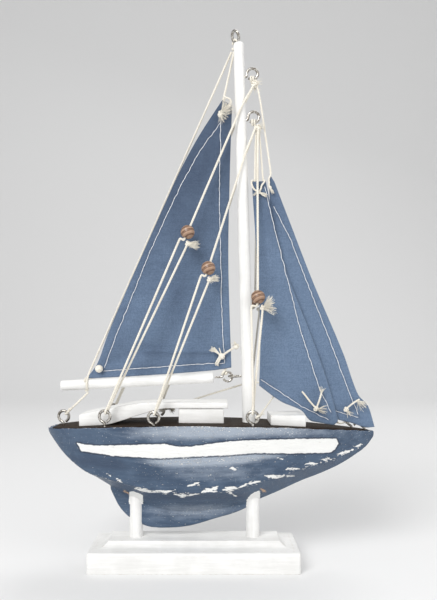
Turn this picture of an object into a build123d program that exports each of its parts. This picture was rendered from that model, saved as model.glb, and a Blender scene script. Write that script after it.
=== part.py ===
"""Model sailing ship on its display stand: a small wooden yacht with a mainsail, two jibs,
beaded string rigging and screw eyes. Millimetres, +Z up the mast, +X to the bow, +Y to port.
The origin is the centre of the base's underside."""

import os
from math import cos, radians, sin, sqrt, tan

from build123d import *

# ------------------------------------------------------------------ stand
base_length = 88.0
base_width = 30.0
base_edge_height = 8.7
base_edge_round = 1.0
base_corner_round = 1.3
cove_width = 5.5
cove_drop = 2.8
ledge_width = 2.5
post_diameter = 5.8
post_spacing = 50.2
post_socket_depth = 6.0
post_in_hull = 8.0
glue_gap = 0.05  # all round a dowel or a screw in its hole

# ------------------------------------------------------------------ hull
hull_length = 140.0
stern_x = -62.6
hull_half_beam = 17.0
midship_x = 0.0
bow_half_width = 1.0
stern_half_width = 2.5
bow_fullness = 2.2
bow_fineness = 0.9
stern_fullness = 3.0
stern_fineness = 0.5
chine_share = 0.65  # chine half-breadth over deck half-breadth
bottom_half_width = 1.6  # flat along the bottom, where the fin starts
bottom_share = 0.6  # the flat's greatest share of the width between the chines
hull_depth = 38.5  # from the deck to the bottom where it is deepest
deck_crest_z = 60.9
deck_crest_x = -3.0
deck_radius = 830.0  # the deck is a long arch from stern to bow
deck_thickness = 0.8
deck_margin = 1.1  # painted edge left round the let-in deck
# Each station: share of the hull's length from the stern, and how far under the deck its
# bottom and its chine lie, as shares of the hull's depth.
stations = (
    (0.000, 0.061, 0.040),
    (0.022, 0.147, 0.134),
    (0.054, 0.296, 0.278),
    (0.090, 0.433, 0.404),
    (0.133, 0.556, 0.512),
    (0.183, 0.683, 0.572),
    (0.247, 0.824, 0.637),
    (0.326, 0.950, 0.711),
    (0.419, 1.000, 0.745),
    (0.519, 0.966, 0.727),
    (0.619, 0.885, 0.646),
    (0.690, 0.782, 0.566),
    (0.761, 0.651, 0.471),
    (0.833, 0.528, 0.388),
    (0.897, 0.400, 0.293),
    (0.947, 0.273, 0.203),
    (0.979, 0.174, 0.129),
    (1.000, 0.063, 0.039),
)
fin_thickness = 3.0
fin_root_depth = 2.8  # how far the fin's root runs up inside the bottom
fin_root_inset_aft = 5.6
fin_root_inset_fore = 0.8
fin_aft_x = -36.6
fin_length = 65.6
# Fin outline: share of its length from its aft root, and its depth under the hull's bottom.
fin_outline = (
    (0.000, 1.1), (0.061, 6.8), (0.137, 9.2), (0.244, 9.6), (0.384, 8.0),
    (0.543, 6.3), (0.695, 4.5), (0.863, 2.8), (1.000, -0.0),
)

# ------------------------------------------------------------------ deck fittings
cabin_aft_x = -6.4
cabin_fore_x = 12.5
cabin_width = 16.0
roof_top_z = 69.7
roof_thickness = 2.5
roof_width = 17.5
roof_fore_overhang = 1.7
roof_bend_x = -16.0  # the roof board leaves the level here and slopes down to the deck
roof_tail_x = -48.0
roof_tail_height = 4.9
roof_tail_foot = 11.5  # length of the tail that lies on the deck
roof_shoulder_run = 8.0  # the bend's length along the top, and how far it falls
roof_shoulder_drop = 1.1
roof_top_lag = 4.0  # the top stays level this far aft of the bend
roof_under_run = 4.0  # the bend's length along the underside, and how far it falls
roof_under_drop = 0.9
roof_under_lead = 3.0  # the underside starts to fall this far ahead of the bend
tail_lift_run = 4.0  # where the tail leaves the deck
tail_lift = 1.0
hatch_aft_x = 32.1
hatch_fore_x = 46.7
hatch_width = 18.0
hatch_height = 4.5
seat_gap = 0.05  # between a glued block and what it sits on

# ------------------------------------------------------------------ spars
mast_foot_diameter = 5.6  # at the deck; the dowel tapers evenly to its top
mast_top_diameter = 4.5
mast_foot_x = 23.5
mast_top_x = 19.0
mast_top_z = 223.7
mast_socket_depth = 9.0
mast_top_round = 0.9
boom_diameter = 4.5
boom_aft_x = -57.4
boom_fore_x = 8.2
boom_end_round = 0.6
boom_tilt = 3.1  # degrees, its fore end higher
boom_ring_x = 14.25
boom_ring_z = 80.0

# ------------------------------------------------------------------ screw eyes
eye_diameter = 5.9
eye_wire = 1.2
eye_shank = 1.0
eye_screw_depth = 6.0
small_eye_diameter = 5.0
small_eye_wire = 1.0
small_eye_shank = 0.9
small_eye_screw_depth = 5.0
top_eye_lift = 0.1  # between the mast's top and the ring of the eye in it
link_play = 0.35  # between the boom's eye and the mast's eye that hold each other
link_rise = 0.2  # the mast's eye over the boom's
# Side eyes: distance along the ship, distance in from the deck's edge, ring height over the
# deck, and how far the starboard and the port one are turned from facing abeam, in degrees.
aft_eye_place = (-36.6, 2.5, 4.2, 14.0, -14.0)
mid_eye_place = (-16.4, 2.7, 3.1, 12.0, -12.0)
fore_eye_place = (24.2, 1.7, 3.7, 12.0, -12.0)
# End eyes: distance from the end of the hull, off the centreline, ring height, turn.
stern_eye_place = (6.3, 0.0, 3.8, 12.0)
bow_eye_place = (9.4, 1.3, 3.0, 6.0)
tip_eye_place = (4.0, 0.3, 2.9, -8.0)
top_eye_turn = 64.0  # degrees from facing abeam
top_eye_tilt = 26.0  # degrees that the strings have pulled it aft
mast_eye_upper_drop = 14.7  # where the eyes enter the mast, under its top
mast_eye_lower_drop = 33.3
mast_eye_reach = 3.5  # ring centre off the mast's face
mast_eye_tilt = 23.0  # degrees that their rings stand up

# ------------------------------------------------------------------ rigging
string_diameter = 0.96
thin_string_diameter = 0.8
string_gap = 0.03  # where a string lies on wire or wood
knot_radius = 1.25
knot_lag = 0.9  # how far under the bead's lower string a shroud's knot hangs
crossing_radius = 0.8  # the small hump where the single string meets the two strands
strand_spread = 1.95  # half the distance between the two strands, at their bead
strand_lead = 8.0  # the strands run straight this far from the eye's wire
strand_bend = 60.0
corner_bend = 0.9
masthead_knot_radius = 2.0
masthead_knot_flat = 0.9  # how far under its centre the knot is cut flat
masthead_knot_ahead = 1.2  # how far ahead of its eye's centre it hangs
top_knot_radius = 1.0
string_drop = 0.22  # where strings start under that flat, as they leave at a slant
tie_knot_radius = 1.3
bead_diameter = 6.0
bead_length = 5.4
bead_play = 0.3  # between a bead and the string through it, and the knot under it
string_bend = 3.1  # radius of a string's corners
tie_bend = 1.2
string_to_mast = 0.32  # where a string passes beside the mast
# Centres of the starboard beads; the port ones mirror them.
aft_bead = (-2.7, -6.9, 141.1)
mid_bead = (6.0, -7.8, 125.9)
fore_bead = (26.8, -8.5, 113.7)
# Where the starboard strings leave the knots at the mast, from the knot's middle, and where
# two of them bend round the mast: height, and distance ahead of its centreline.
aft_string_start = (-1.1, -0.6, 0)
mid_string_start = (-0.95, -0.75, 0)
fore_string_start = (0.3, -0.95, 0)
aft_string_bend = (196.2, 0.65)
mid_string_bend = (176.0, 1.65)
outer_jib_start = (1.25, 0, 0)
inner_jib_starts = ((-0.35, 0, 0), (1.25, 0, 0))
# The knot behind the mast's top, from the top's middle. The halyard and the backstay start
# a little under it.
top_knot_at = (-1.8, 3.9, -0.9)
top_string_apart = 1.1
# Points on the strings' routes, and places along the boom where they go round it.
head_route = ((12.3, 0.34, 198.6), (11.5, 0.29, 194.0), (11.2, -1.81, 193.0))
head_bends = (3.1, 0.7)
backstay_wrap_x = -44.9
backstay_lower_x = -45.8
clew_lashing_x = -40.8
clew_knot_z = 83.4
clew_knot_radius = 1.7
tack_lashing_x = 6.0
tack_knot_at = (10.1, -2.0, 88.9)
tack_tail_at = (17.6, -2.0, 93.2)
inner_heads = ((25.9, -0.75, 162.4), (29.6, -0.75, 162.6))
inner_head_bend = 0.8
outer_head = (33.0, 0.9, 168.2)
inner_tie_route = ((51.6, -3.3, 66.4), (53.0, -0.75, 65.8), (61.4, -0.6, 59.8))
outer_tie_route = ((64.6, -2.6, 66.1), (66.2, 0.6, 65.6))
outer_sheet_start = (33.9, 0.2, 71.2)
inner_sheet_start = (28.0, -0.6, 77.6)
inner_sheet_bend = (77.2, 1.4, 1.0)  # height, ahead of the mast's centreline, off its side

# ------------------------------------------------------------------ sails
cloth = 0.5
cloth_spare = 1.0  # over and under the outline, before the sail is cut out of its shell
main_belly = 0.8
jib_belly = 0.5
boom_to_sail = 0.25
main_outline = ((12.0, 198.9), (16.2, 196.6), (15.3, 170.0), (14.6, 130.0), (15.9, 84.0))
main_clew_x = -46.3
main_leech = (  # up from the clew
    (-41.6, 86.0), (-37.3, 98.0), (-29.2, 117.3), (-19.7, 138.8), (-12.4, 155.1), (-6.5, 168.0),
    (1.9, 183.5),
)
main_notch_x = 8.0  # fore end of the foot, and how much higher it is cut there
main_notch_rise = 0.6
inner_jib_y = -1.6
inner_jib_outline = (
    (24.6, 163.6), (30.6, 163.9), (37.5, 131.0), (53.0, 90.0), (61.5, 61.6), (59.8, 59.3),
    (53.5, 60.4), (49.5, 61.4), (45.8, 65.6), (37.2, 69.4), (27.8, 76.2), (28.3, 100.0),
)
outer_jib_clew_y = 0.9
outer_jib_tack_y = -1.5
outer_jib_outline = (
    (32.4, 167.6), (34.6, 164.0), (50.1, 123.5), (64.0, 90.0), (70.2, 72.6), (74.4, 67.6),
    (77.2, 58.6), (73.3, 58.3), (67.7, 60.1), (62.0, 61.5), (34.2, 71.9), (33.4, 100.0),
)

X, Y, Z = Vector(1, 0, 0), Vector(0, 1, 0), Vector(0, 0, 1)
os.makedirs("parts", exist_ok=True)
nodes = {}


# ------------------------------------------------------------------ helpers
def cylinder(radius, start, end):
    """A round bar from one point to another."""
    start, end = Vector(start), Vector(end)
    run = end - start
    return Solid.make_cylinder(radius, run.length, Plane(origin=start, z_dir=run))


def block(x_range, y_range, z_range):
    """A box between two limits on each axis."""
    lows, highs = zip(x_range, y_range, z_range)
    size = Vector(*highs) - Vector(*lows)
    return Solid.make_box(size.X, size.Y, size.Z, Plane(origin=lows))


def plate(outline, half_thickness):
    """An outline of (x, z) points, extruded to both sides of the centre plane."""
    edges = Polyline(*[(x, half_thickness, z) for x, z in outline], close=True)
    return extrude(make_face(edges), amount=2 * half_thickness, dir=(0, -1, 0))


def tube(radius, *points, bends=()):
    """A round string through points, each corner an arc of the radius that bends gives it."""
    points = [Vector(point) for point in points]
    bends = bends or [string_bend] * len(points)
    start, pieces = points[0], []
    for before, corner, after, bend in zip(points, points[1:], points[2:], bends):
        ahead, onward = (corner - before).normalized(), (after - corner).normalized()
        turn = ahead.get_angle(onward)
        cut = bend * tan(radians(turn) / 2)
        hinge = ahead.cross(onward).normalized()
        arc_start = corner - ahead * cut
        disc = Plane(origin=arc_start, z_dir=ahead) * Circle(radius)
        centre = arc_start + hinge.cross(ahead) * bend
        pieces += [
            cylinder(radius, start, arc_start),
            revolve(disc, Axis(centre, hinge), turn).solid(),
        ]
        start = corner + onward * cut
    last = cylinder(radius, start, points[-1])
    return last.fuse(*pieces) if pieces else last


def knot_ball(at, radius):
    return Solid.make_sphere(radius, Plane(origin=at), -90, 90, 360)


# ------------------------------------------------------------------ stand
base_height = base_edge_height + cove_drop
foot_length = base_length - 2 * ledge_width
foot_width = base_width - 2 * ledge_width
cove_radius = (cove_width**2 + cove_drop**2) / (2 * cove_drop)
slab = extrude(RectangleRounded(base_length, base_width, base_corner_round), base_edge_height)
slab = fillet(slab.edges().group_by(Axis.Z)[-1], base_edge_round)
raised = block(
    (-foot_length / 2, foot_length / 2),
    (-foot_width / 2, foot_width / 2),
    (base_edge_height - base_edge_round, base_height),
)
cove_z = base_edge_height + cove_radius
for side in (-1, 1):
    end_x, end_y = side * foot_length / 2, side * foot_width / 2
    raised -= cylinder(cove_radius, (end_x, -base_width, cove_z), (end_x, base_width, cove_z))
    raised -= cylinder(cove_radius, (-base_length, end_y, cove_z), (base_length, end_y, cove_z))
base = slab + raised

post_foot_z = base_height - post_socket_depth
post_radius = post_diameter / 2


def deck_z(x):
    """Height of the deck's top."""
    return deck_crest_z - deck_radius + sqrt(deck_radius**2 - (x - deck_crest_x) ** 2)


def bottom_z(x):
    """Height of the hull's bottom centreline, without the fin."""
    share = (x - stern_x) / hull_length
    for (s0, b0, _), (s1, b1, _) in zip(stations, stations[1:]):
        if s0 <= share <= s1:
            return deck_z(x) - hull_depth * (b0 + (b1 - b0) * (share - s0) / (s1 - s0))
    return deck_z(x)


posts = {}
post_bores = []
for name, side in (("stand_post_aft", -1), ("stand_post_fore", 1)):
    x = side * post_spacing / 2
    top_z = bottom_z(x) + post_in_hull
    posts[name] = cylinder(post_radius, (x, 0, post_foot_z), (x, 0, top_z))
    post_bores.append(
        cylinder(
            post_radius + glue_gap, (x, 0, post_foot_z - glue_gap), (x, 0, top_z + glue_gap)
        )
    )
for bore in post_bores:
    base -= bore
nodes["base_plinth"] = base
nodes.update(posts)


# ------------------------------------------------------------------ hull and deck
bow_x = stern_x + hull_length


def half_breadth(x):
    """Half the width of the hull at its deck edge."""
    if x > midship_x:
        share = (x - midship_x) / (bow_x - midship_x)
        swell = max(0.0, 1 - share**bow_fullness) ** bow_fineness
        return bow_half_width + (hull_half_beam - bow_half_width) * swell
    share = (midship_x - x) / (midship_x - stern_x)
    swell = max(0.0, 1 - share**stern_fullness) ** stern_fineness
    return stern_half_width + (hull_half_beam - stern_half_width) * swell


def section(x, bottom_drop, chine_drop):
    """One cross-section: flat bottom strip, bottom, chine, flared side up past the deck."""
    at_deck = half_breadth(x)
    at_chine = chine_share * at_deck
    at_bottom = min(bottom_half_width, bottom_share * at_chine)
    z_bottom = deck_z(x) - hull_depth * bottom_drop
    z_chine = deck_z(x) - hull_depth * chine_drop
    z_top = deck_crest_z + 2 * deck_thickness
    flare = (at_deck - at_chine) / (deck_z(x) - z_chine)
    at_top = at_deck + flare * (z_top - deck_z(x))
    half = [(at_top, z_top), (at_chine, z_chine), (at_bottom, z_bottom)]
    outline = half + [(-y, z) for y, z in reversed(half)]
    return make_face(Polyline(*[(x, y, z) for y, z in outline], close=True))


def under_arch(z_drop):
    """Everything under the deck's long arch, lowered by z_drop."""
    centre_z = deck_crest_z - deck_radius
    reach = 2 * hull_half_beam
    return cylinder(
        deck_radius - z_drop, (deck_crest_x, -reach, centre_z), (deck_crest_x, reach, centre_z)
    )


hull_stations = [(stern_x + share * hull_length, b, c) for share, b, c in stations]
body = loft([section(*station) for station in hull_stations], ruled=True)
body = body & under_arch(0)
fin_edge = []
for share, depth in fin_outline:
    x = fin_aft_x + share * fin_length
    fin_edge.append(Vector(x, 0, bottom_z(x) - depth))
fin_lid = Polyline(
    fin_edge[-1],
    fin_edge[-1] + Z * fin_root_depth - X * fin_root_inset_fore,
    fin_edge[0] + Z * fin_root_depth + X * fin_root_inset_aft,
    fin_edge[0],
)
fin_face = make_face(Spline(*fin_edge) + fin_lid)
fin = extrude(fin_face, amount=fin_thickness / 2, both=True)
hull = body + fin

deck_rim = [(x, half_breadth(x) - deck_margin) for x, _, _ in hull_stations[1:-1]]
deck_rim = [(x, y) for x, y in deck_rim if y > deck_margin]
deck_outline = deck_rim + [(x, -y) for x, y in reversed(deck_rim)]
deck_face = make_face(Polyline(*[(x, y, 0) for x, y in deck_outline], close=True))
deck_prism = extrude(deck_face, amount=deck_crest_z + deck_thickness)
deck = (deck_prism & under_arch(0)) - under_arch(deck_thickness)
hull -= deck_prism - under_arch(deck_thickness + glue_gap)


# ------------------------------------------------------------------ blocks on the deck
def seated(shape):
    """A block cut to the deck's arch, so that it sits on it."""
    return shape - under_arch(-seat_gap)


cabin_top_z = roof_top_z - roof_thickness - seat_gap
nodes["cabin_block"] = seated(
    block(
        (cabin_aft_x, cabin_fore_x),
        (-cabin_width / 2, cabin_width / 2),
        (deck_crest_z - deck_thickness, cabin_top_z),
    )
)
roof_under_z = roof_top_z - roof_thickness
roof_fore_x = cabin_fore_x + roof_fore_overhang
tail_floor_z = deck_z(roof_tail_x) - deck_thickness
tail_lift_x = roof_tail_x + roof_tail_foot
roof_profile = (
    (roof_fore_x, roof_top_z),
    (roof_bend_x - roof_top_lag, roof_top_z),
    (roof_bend_x - roof_top_lag - roof_shoulder_run, roof_top_z - roof_shoulder_drop),
    (roof_tail_x, deck_z(roof_tail_x) + roof_tail_height),
    (roof_tail_x, tail_floor_z),
    (tail_lift_x, deck_z(tail_lift_x) + seat_gap),
    (tail_lift_x + tail_lift_run, deck_z(tail_lift_x) + tail_lift),
    (roof_bend_x + roof_under_lead - roof_under_run, roof_under_z - roof_under_drop),
    (roof_bend_x + roof_under_lead, roof_under_z),
    (roof_fore_x, roof_under_z),
)
nodes["cabin_roof"] = seated(plate(roof_profile, roof_width / 2))
hatch_middle_z = deck_z((hatch_aft_x + hatch_fore_x) / 2)
nodes["fore_hatch"] = seated(
    block(
        (hatch_aft_x, hatch_fore_x),
        (-hatch_width / 2, hatch_width / 2),
        (hatch_middle_z - hatch_height, hatch_middle_z + hatch_height),
    )
)

# ------------------------------------------------------------------ mast and boom
mast_foot_z = deck_z(mast_foot_x)
mast_foot = Vector(mast_foot_x, 0, mast_foot_z)
mast_top = Vector(mast_top_x, 0, mast_top_z)
mast_up = (mast_top - mast_foot).normalized()
foot_radius = mast_foot_diameter / 2
mast_heel = mast_foot - mast_up * mast_socket_depth
mast = Solid.make_cone(
    foot_radius,
    mast_top_diameter / 2,
    (mast_top - mast_foot).length,
    Plane(origin=mast_foot, z_dir=mast_up),
)
mast = fillet(mast.edges().sort_by(Axis.Z)[-1], mast_top_round)
mast += cylinder(foot_radius, mast_heel, mast_foot)
mast_bore = cylinder(
    foot_radius + glue_gap, mast_heel - mast_up * glue_gap, mast_foot + mast_up * foot_radius
)


def mast_x(z):
    """The mast's centreline at a height."""
    return mast_foot_x + (mast_top_x - mast_foot_x) * (z - mast_foot_z) / (
        mast_top_z - mast_foot_z
    )


def mast_radius(z):
    """The mast's radius at a height over the deck."""
    return foot_radius + (mast_top_diameter / 2 - foot_radius) * (z - mast_foot_z) / (
        mast_top_z - mast_foot_z
    )


boom_ahead = Vector(cos(radians(boom_tilt)), 0, sin(radians(boom_tilt)))
boom_ring = Vector(boom_ring_x, 0, boom_ring_z)
boom_radius = boom_diameter / 2


def on_boom(x):
    """The boom's centreline at a place along the ship."""
    return Vector(x, 0, boom_ring_z + (x - boom_ring_x) * tan(radians(boom_tilt)))


boom = cylinder(boom_radius, on_boom(boom_aft_x), on_boom(boom_fore_x))
boom = fillet(boom.edges().filter_by(GeomType.CIRCLE), boom_end_round)


# ------------------------------------------------------------------ screw eyes
class ScrewEye:
    """A ring of wire on a screw shank: where it is, and the solid and the hole that it needs."""

    def __init__(self, centre, shank, normal, small=False, depth_from=None):
        self.centre, self.shank = Vector(centre), Vector(shank).normalized()
        self.normal = Vector(normal).normalized()
        outer = small_eye_diameter if small else eye_diameter
        self.wire = (small_eye_wire if small else eye_wire) / 2
        self.radius = outer / 2 - self.wire
        depth = small_eye_screw_depth if small else eye_screw_depth
        bar = (small_eye_shank if small else eye_shank) / 2
        ring = Solid.make_torus(
            self.radius, self.wire, Plane(origin=self.centre, z_dir=self.normal)
        )
        start = self.centre + self.shank * self.radius
        tip = self.centre + self.shank * (depth_from + depth)
        self.solid = ring + cylinder(bar, start, tip)
        mouth = self.centre + self.shank * depth_from
        self.hole = cylinder(
            bar + glue_gap, mouth - self.shank * depth, tip + self.shank * glue_gap
        )

    def wire_towards(self, point):
        """The middle of the wire on the side that faces a point, and its direction there."""
        off = Vector(point) - self.centre
        off = off - self.normal * off.dot(self.normal)
        outwards = off.normalized()
        return self.centre + outwards * self.radius, self.normal.cross(outwards)


def deck_eye(x, y, height, turn, small=False):
    """An eye that stands in the deck."""
    centre = Vector(x, y, deck_z(x) + height)
    normal = Vector(sin(radians(turn)), cos(radians(turn)), 0)
    return ScrewEye(centre, -Z, normal, small, depth_from=height)


def side_eye(place, side):
    """One of a pair near the deck's edge: side is -1 to starboard and 1 to port."""
    x, inset, height, *turns = place
    return deck_eye(x, side * (half_breadth(x) - inset), height, turns[(side + 1) // 2])


def mast_eye(drop):
    """An eye in the mast's fore side, its ring standing up a little."""
    z = mast_top_z - drop
    out = Vector(cos(radians(mast_eye_tilt)), 0, sin(radians(mast_eye_tilt)))
    face = Vector(mast_x(z) + mast_radius(z), 0, z)
    return ScrewEye(face + out * mast_eye_reach, -out, Y, depth_from=mast_eye_reach)


small_ring = small_eye_diameter / 2 - small_eye_wire / 2
link_span = 2 * small_ring - 2 * (small_eye_wire / 2) - link_play
gooseneck_z = boom_ring_z + link_rise
gooseneck_ring = Vector(boom_ring_x + link_span, 0, gooseneck_z)
gooseneck_reach = gooseneck_ring.X - (mast_x(gooseneck_z) - mast_radius(gooseneck_z))
top_out = Vector(-sin(radians(top_eye_tilt)), 0, cos(radians(top_eye_tilt)))
top_side = Vector(top_out.Z, 0, -top_out.X)
top_normal = Y * cos(radians(top_eye_turn)) + top_side * sin(radians(top_eye_turn))
top_reach = eye_diameter / 2 + top_eye_lift
stern_from, stern_off, stern_height, stern_turn = stern_eye_place
bow_from, bow_off, bow_height, bow_turn = bow_eye_place
tip_from, tip_off, tip_height, tip_turn = tip_eye_place
eyes = {
    "mast_top_eye": ScrewEye(
        mast_top + top_out * top_reach, -top_out, top_normal, depth_from=top_reach
    ),
    "mast_eye_upper": mast_eye(mast_eye_upper_drop),
    "mast_eye_lower": mast_eye(mast_eye_lower_drop),
    "mast_gooseneck_eye": ScrewEye(
        gooseneck_ring, X, Z, small=True, depth_from=-gooseneck_reach
    ),
    "boom_eye": ScrewEye(
        boom_ring, -boom_ahead, Y, small=True,
        depth_from=(boom_ring_x - boom_fore_x) / boom_ahead.X,
    ),
    "stern_eye": deck_eye(stern_x + stern_from, stern_off, stern_height, stern_turn),
    "bow_eye": deck_eye(bow_x - bow_from, bow_off, bow_height, bow_turn, small=True),
    "bow_tip_eye": deck_eye(bow_x - tip_from, tip_off, tip_height, tip_turn, small=True),
}
for name, place in (("aft", aft_eye_place), ("mid", mid_eye_place), ("fore", fore_eye_place)):
    eyes[f"deck_eye_{name}_starboard"] = side_eye(place, -1)
    eyes[f"deck_eye_{name}_port"] = side_eye(place, 1)
for name, eye in eyes.items():
    nodes[name] = eye.solid
    if name == "boom_eye":
        boom -= eye.hole
    elif name.startswith("mast"):
        mast -= eye.hole
    else:
        hull -= eye.hole
        deck -= eye.hole
for bore in post_bores:
    hull -= bore
nodes["hull"] = hull - mast_bore
nodes["deck_board"] = deck - mast_bore
nodes["mast"] = mast
nodes["boom"] = boom

# ------------------------------------------------------------------ knots at the mast eyes
string = string_diameter / 2
thin = thin_string_diameter / 2


def hitch(eye, point, radius=string):
    """A turn of string round an eye's wire, on the side that faces a point."""
    place, along = eye.wire_towards(point)
    return Solid.make_torus(
        eye.wire + radius + string_gap, radius, Plane(origin=place, z_dir=along)
    )


def masthead_knot(eye):
    """The knot under a mast eye where several strings meet, cut flat where they leave."""
    foot, _ = eye.wire_towards(eye.centre - Z)
    centre = foot - Z * (eye.wire + string_gap + masthead_knot_radius)
    centre += X * masthead_knot_ahead
    flat_z = centre.Z - masthead_knot_flat
    reach = 2 * masthead_knot_radius
    below = block(
        (centre.X - reach, centre.X + reach), (-reach, reach), (flat_z - reach, flat_z)
    )
    ball = knot_ball(centre, masthead_knot_radius) - below
    return ball + hitch(eye, eye.centre - Z), Vector(centre.X, 0, flat_z - string_drop)


nodes["masthead_knot_upper"], upper_strings = masthead_knot(eyes["mast_eye_upper"])
nodes["masthead_knot_lower"], lower_strings = masthead_knot(eyes["mast_eye_lower"])


# ------------------------------------------------------------------ shrouds and beads
def shroud(start, bend, bead_at, eye):
    """A string that comes down through a bead, goes through an eye and back up to a knot
    beside the bead. Gives the string, the bead and the direction in which the bead slides."""
    up = ((bend or start) - bead_at).normalized()
    fore = Y.cross(up).normalized()
    under_bead = bead_at - up * (bead_length / 2 + bead_play + string)
    corner = under_bead - fore * strand_spread
    knot = under_bead - up * knot_lag + fore * strand_spread
    crossing = (corner + knot) / 2
    across = (knot - corner).normalized()

    wire_at, along = eye.wire_towards(bead_at)
    down = (wire_at - bead_at).normalized()
    apart = along.cross(down).normalized() * (eye.wire + string + string_gap)
    if apart.dot(fore) < 0:
        apart = -apart
    fore_foot, aft_foot, lead = wire_at + apart, wire_at - apart, down * strand_lead
    round_wire = revolve(
        Plane(origin=fore_foot, z_dir=down) * Circle(string), Axis(wire_at, apart.cross(down)), 180
    )
    fore_top = knot + (fore_foot - lead - knot).normalized() * knot_radius / 2
    fore_strand = tube(string, fore_top, fore_foot - lead, fore_foot, bends=[strand_bend])
    aft_strand = tube(
        string, knot - across * knot_radius / 2, corner, aft_foot - lead, aft_foot,
        bends=[corner_bend, strand_bend],
    )
    single = tube(string, *[point for point in (crossing, bend, start) if point])

    facing = Plane(origin=knot, z_dir=fore.cross(up), x_dir=fore + up)
    ball = Solid.make_sphere(knot_radius, facing, -90, 90, 360)
    facing = Plane(origin=crossing, z_dir=fore.cross(up), x_dir=-up)
    small_ball = Solid.make_sphere(crossing_radius, facing, -90, 90, 360)

    bead = Solid.make_sphere(bead_diameter / 2, Plane(origin=bead_at, z_dir=up), -90, 90, 360)
    middle = cylinder(
        bead_diameter, bead_at - up * (bead_length / 2), bead_at + up * (bead_length / 2)
    )
    reach = up * bead_length
    bore = cylinder(string + bead_play, bead_at - reach, bead_at + reach)
    line = ball.fuse(small_ball, fore_strand, aft_strand, round_wire.solid(), single)
    return line, (bead & middle) - bore, up


def beside_mast(z, ahead):
    """A string's middle where it passes the mast's starboard side."""
    return Vector(mast_x(z) + ahead, -(mast_radius(z) + string + string_to_mast), z)


slides = {}
rig = {
    "aft": (upper_strings + Vector(aft_string_start), beside_mast(*aft_string_bend), aft_bead),
    "mid": (lower_strings + Vector(mid_string_start), beside_mast(*mid_string_bend), mid_bead),
    "fore": (lower_strings + Vector(fore_string_start), None, fore_bead),
}
for name, (start, bend, bead_at) in rig.items():
    for side, turned in (("starboard", False), ("port", True)):
        flip = (lambda p: Vector(p.X, -p.Y, p.Z)) if turned else (lambda p: p)
        eye = eyes[f"deck_eye_{name}_{side}"]
        line, bead, up = shroud(
            flip(start), bend and flip(bend), flip(Vector(bead_at)), eye
        )
        nodes[f"shroud_{name}_{side}"] = line
        nodes[f"bead_{name}_{side}"] = bead
        slides[f"bead_{name}_{side}"] = up


# ------------------------------------------------------------------ sails
def sail(outline, y_at, belly):
    """A thin cloth with a shallow belly to port. y_at gives its plane at two places along."""
    (x0, y0), (x1, y1) = y_at
    chord = Vector(x1, y1, 0) - Vector(x0, y0, 0)
    xs = [x for x, _ in outline]
    half_width = (max(xs) - min(xs)) / 2
    radius = (half_width**2 + belly**2) / (2 * belly)
    share = ((max(xs) + min(xs)) / 2 - x0) / (x1 - x0)
    middle = Vector(x0, y0, 0) + chord * share
    to_port = Z.cross(chord).normalized()
    axis = middle + to_port * (belly - radius)
    low = min(z for _, z in outline) - cloth_spare
    high = max(z for _, z in outline) + cloth_spare
    shell = cylinder(radius + cloth / 2, axis + Z * low, axis + Z * high) - cylinder(
        radius - cloth / 2, axis + Z * low, axis + Z * high
    )
    return plate(outline, half_width) & shell


def over_boom(x):
    """The lower edge of the mainsail, just over the boom."""
    return on_boom(x).Z + boom_radius + boom_to_sail


main_notch = (main_notch_x, over_boom(main_notch_x) + main_notch_rise)
main_edge = (*main_outline, main_notch, (main_clew_x, over_boom(main_clew_x)), *main_leech)
main_plane = ((main_clew_x, -main_belly), (main_outline[-1][0], -main_belly))
mainsail = sail(main_edge, main_plane, main_belly)
inner_plane = ((27.8, inner_jib_y), (61.5, inner_jib_y))
jib_inner = sail(inner_jib_outline, inner_plane, jib_belly)
outer_plane = ((34.2, outer_jib_clew_y), (77.2, outer_jib_tack_y))
jib_outer = sail(outer_jib_outline, outer_plane, jib_belly)


# ------------------------------------------------------------------ strings of the mainsail
top_eye = eyes["mast_top_eye"]
top_knot = mast_top + Vector(top_knot_at)
top_wire, _ = top_eye.wire_towards(top_knot)
top_away = (top_knot - top_wire).normalized() * (top_eye.wire + string + string_gap)
nodes["masthead_knot_top"] = (
    hitch(top_eye, top_knot)
    + tube(string, top_wire + top_away, top_knot)
    + knot_ball(top_knot, top_knot_radius)
)
under_top_knot = top_knot - Z * (top_knot_radius + bead_play)
main_halyard = knot_ball(head_route[-1], tie_knot_radius) + tube(
    string, under_top_knot, *head_route, bends=head_bends
)

wrap_at = on_boom(backstay_wrap_x)
wrap_radius = boom_radius + string + string_gap
wrap = Solid.make_torus(wrap_radius, string, Plane(origin=wrap_at, z_dir=boom_ahead))
wrap_side = wrap_at + (Y + Z).normalized() * wrap_radius
backstay_upper = tube(string, under_top_knot - X * top_string_apart, wrap_side) + wrap

stern_ring = eyes["stern_eye"]
stay_top = on_boom(backstay_lower_x) - Z * (wrap_radius + string + bead_play)
stay_foot, _ = stern_ring.wire_towards(stay_top)
stay_side = (stay_top - stay_foot).normalized() * (stern_ring.wire + string + string_gap)
nodes["backstay_lower"] = hitch(stern_ring, stay_top) + tube(
    string, stay_foot + stay_side, stay_top
)


def lashing(x, knot, radius):
    """A turn of string round the boom, up to a knot at the sail's corner."""
    centre = on_boom(x)
    turn = Solid.make_torus(wrap_radius, string, Plane(origin=centre, z_dir=boom_ahead))
    side = centre + (Z - Y).normalized() * wrap_radius
    return turn + tube(string, side, knot) + knot_ball(knot, radius)


clew_knot = (
    clew_lashing_x, -(cloth / 2 + clew_knot_radius + 2 * string_gap), clew_knot_z
)
clew_lashing = lashing(clew_lashing_x, clew_knot, clew_knot_radius)
tack_lashing = lashing(tack_lashing_x, tack_knot_at, tie_knot_radius)
tack_lashing += tube(string, tack_knot_at, tack_tail_at)

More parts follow.
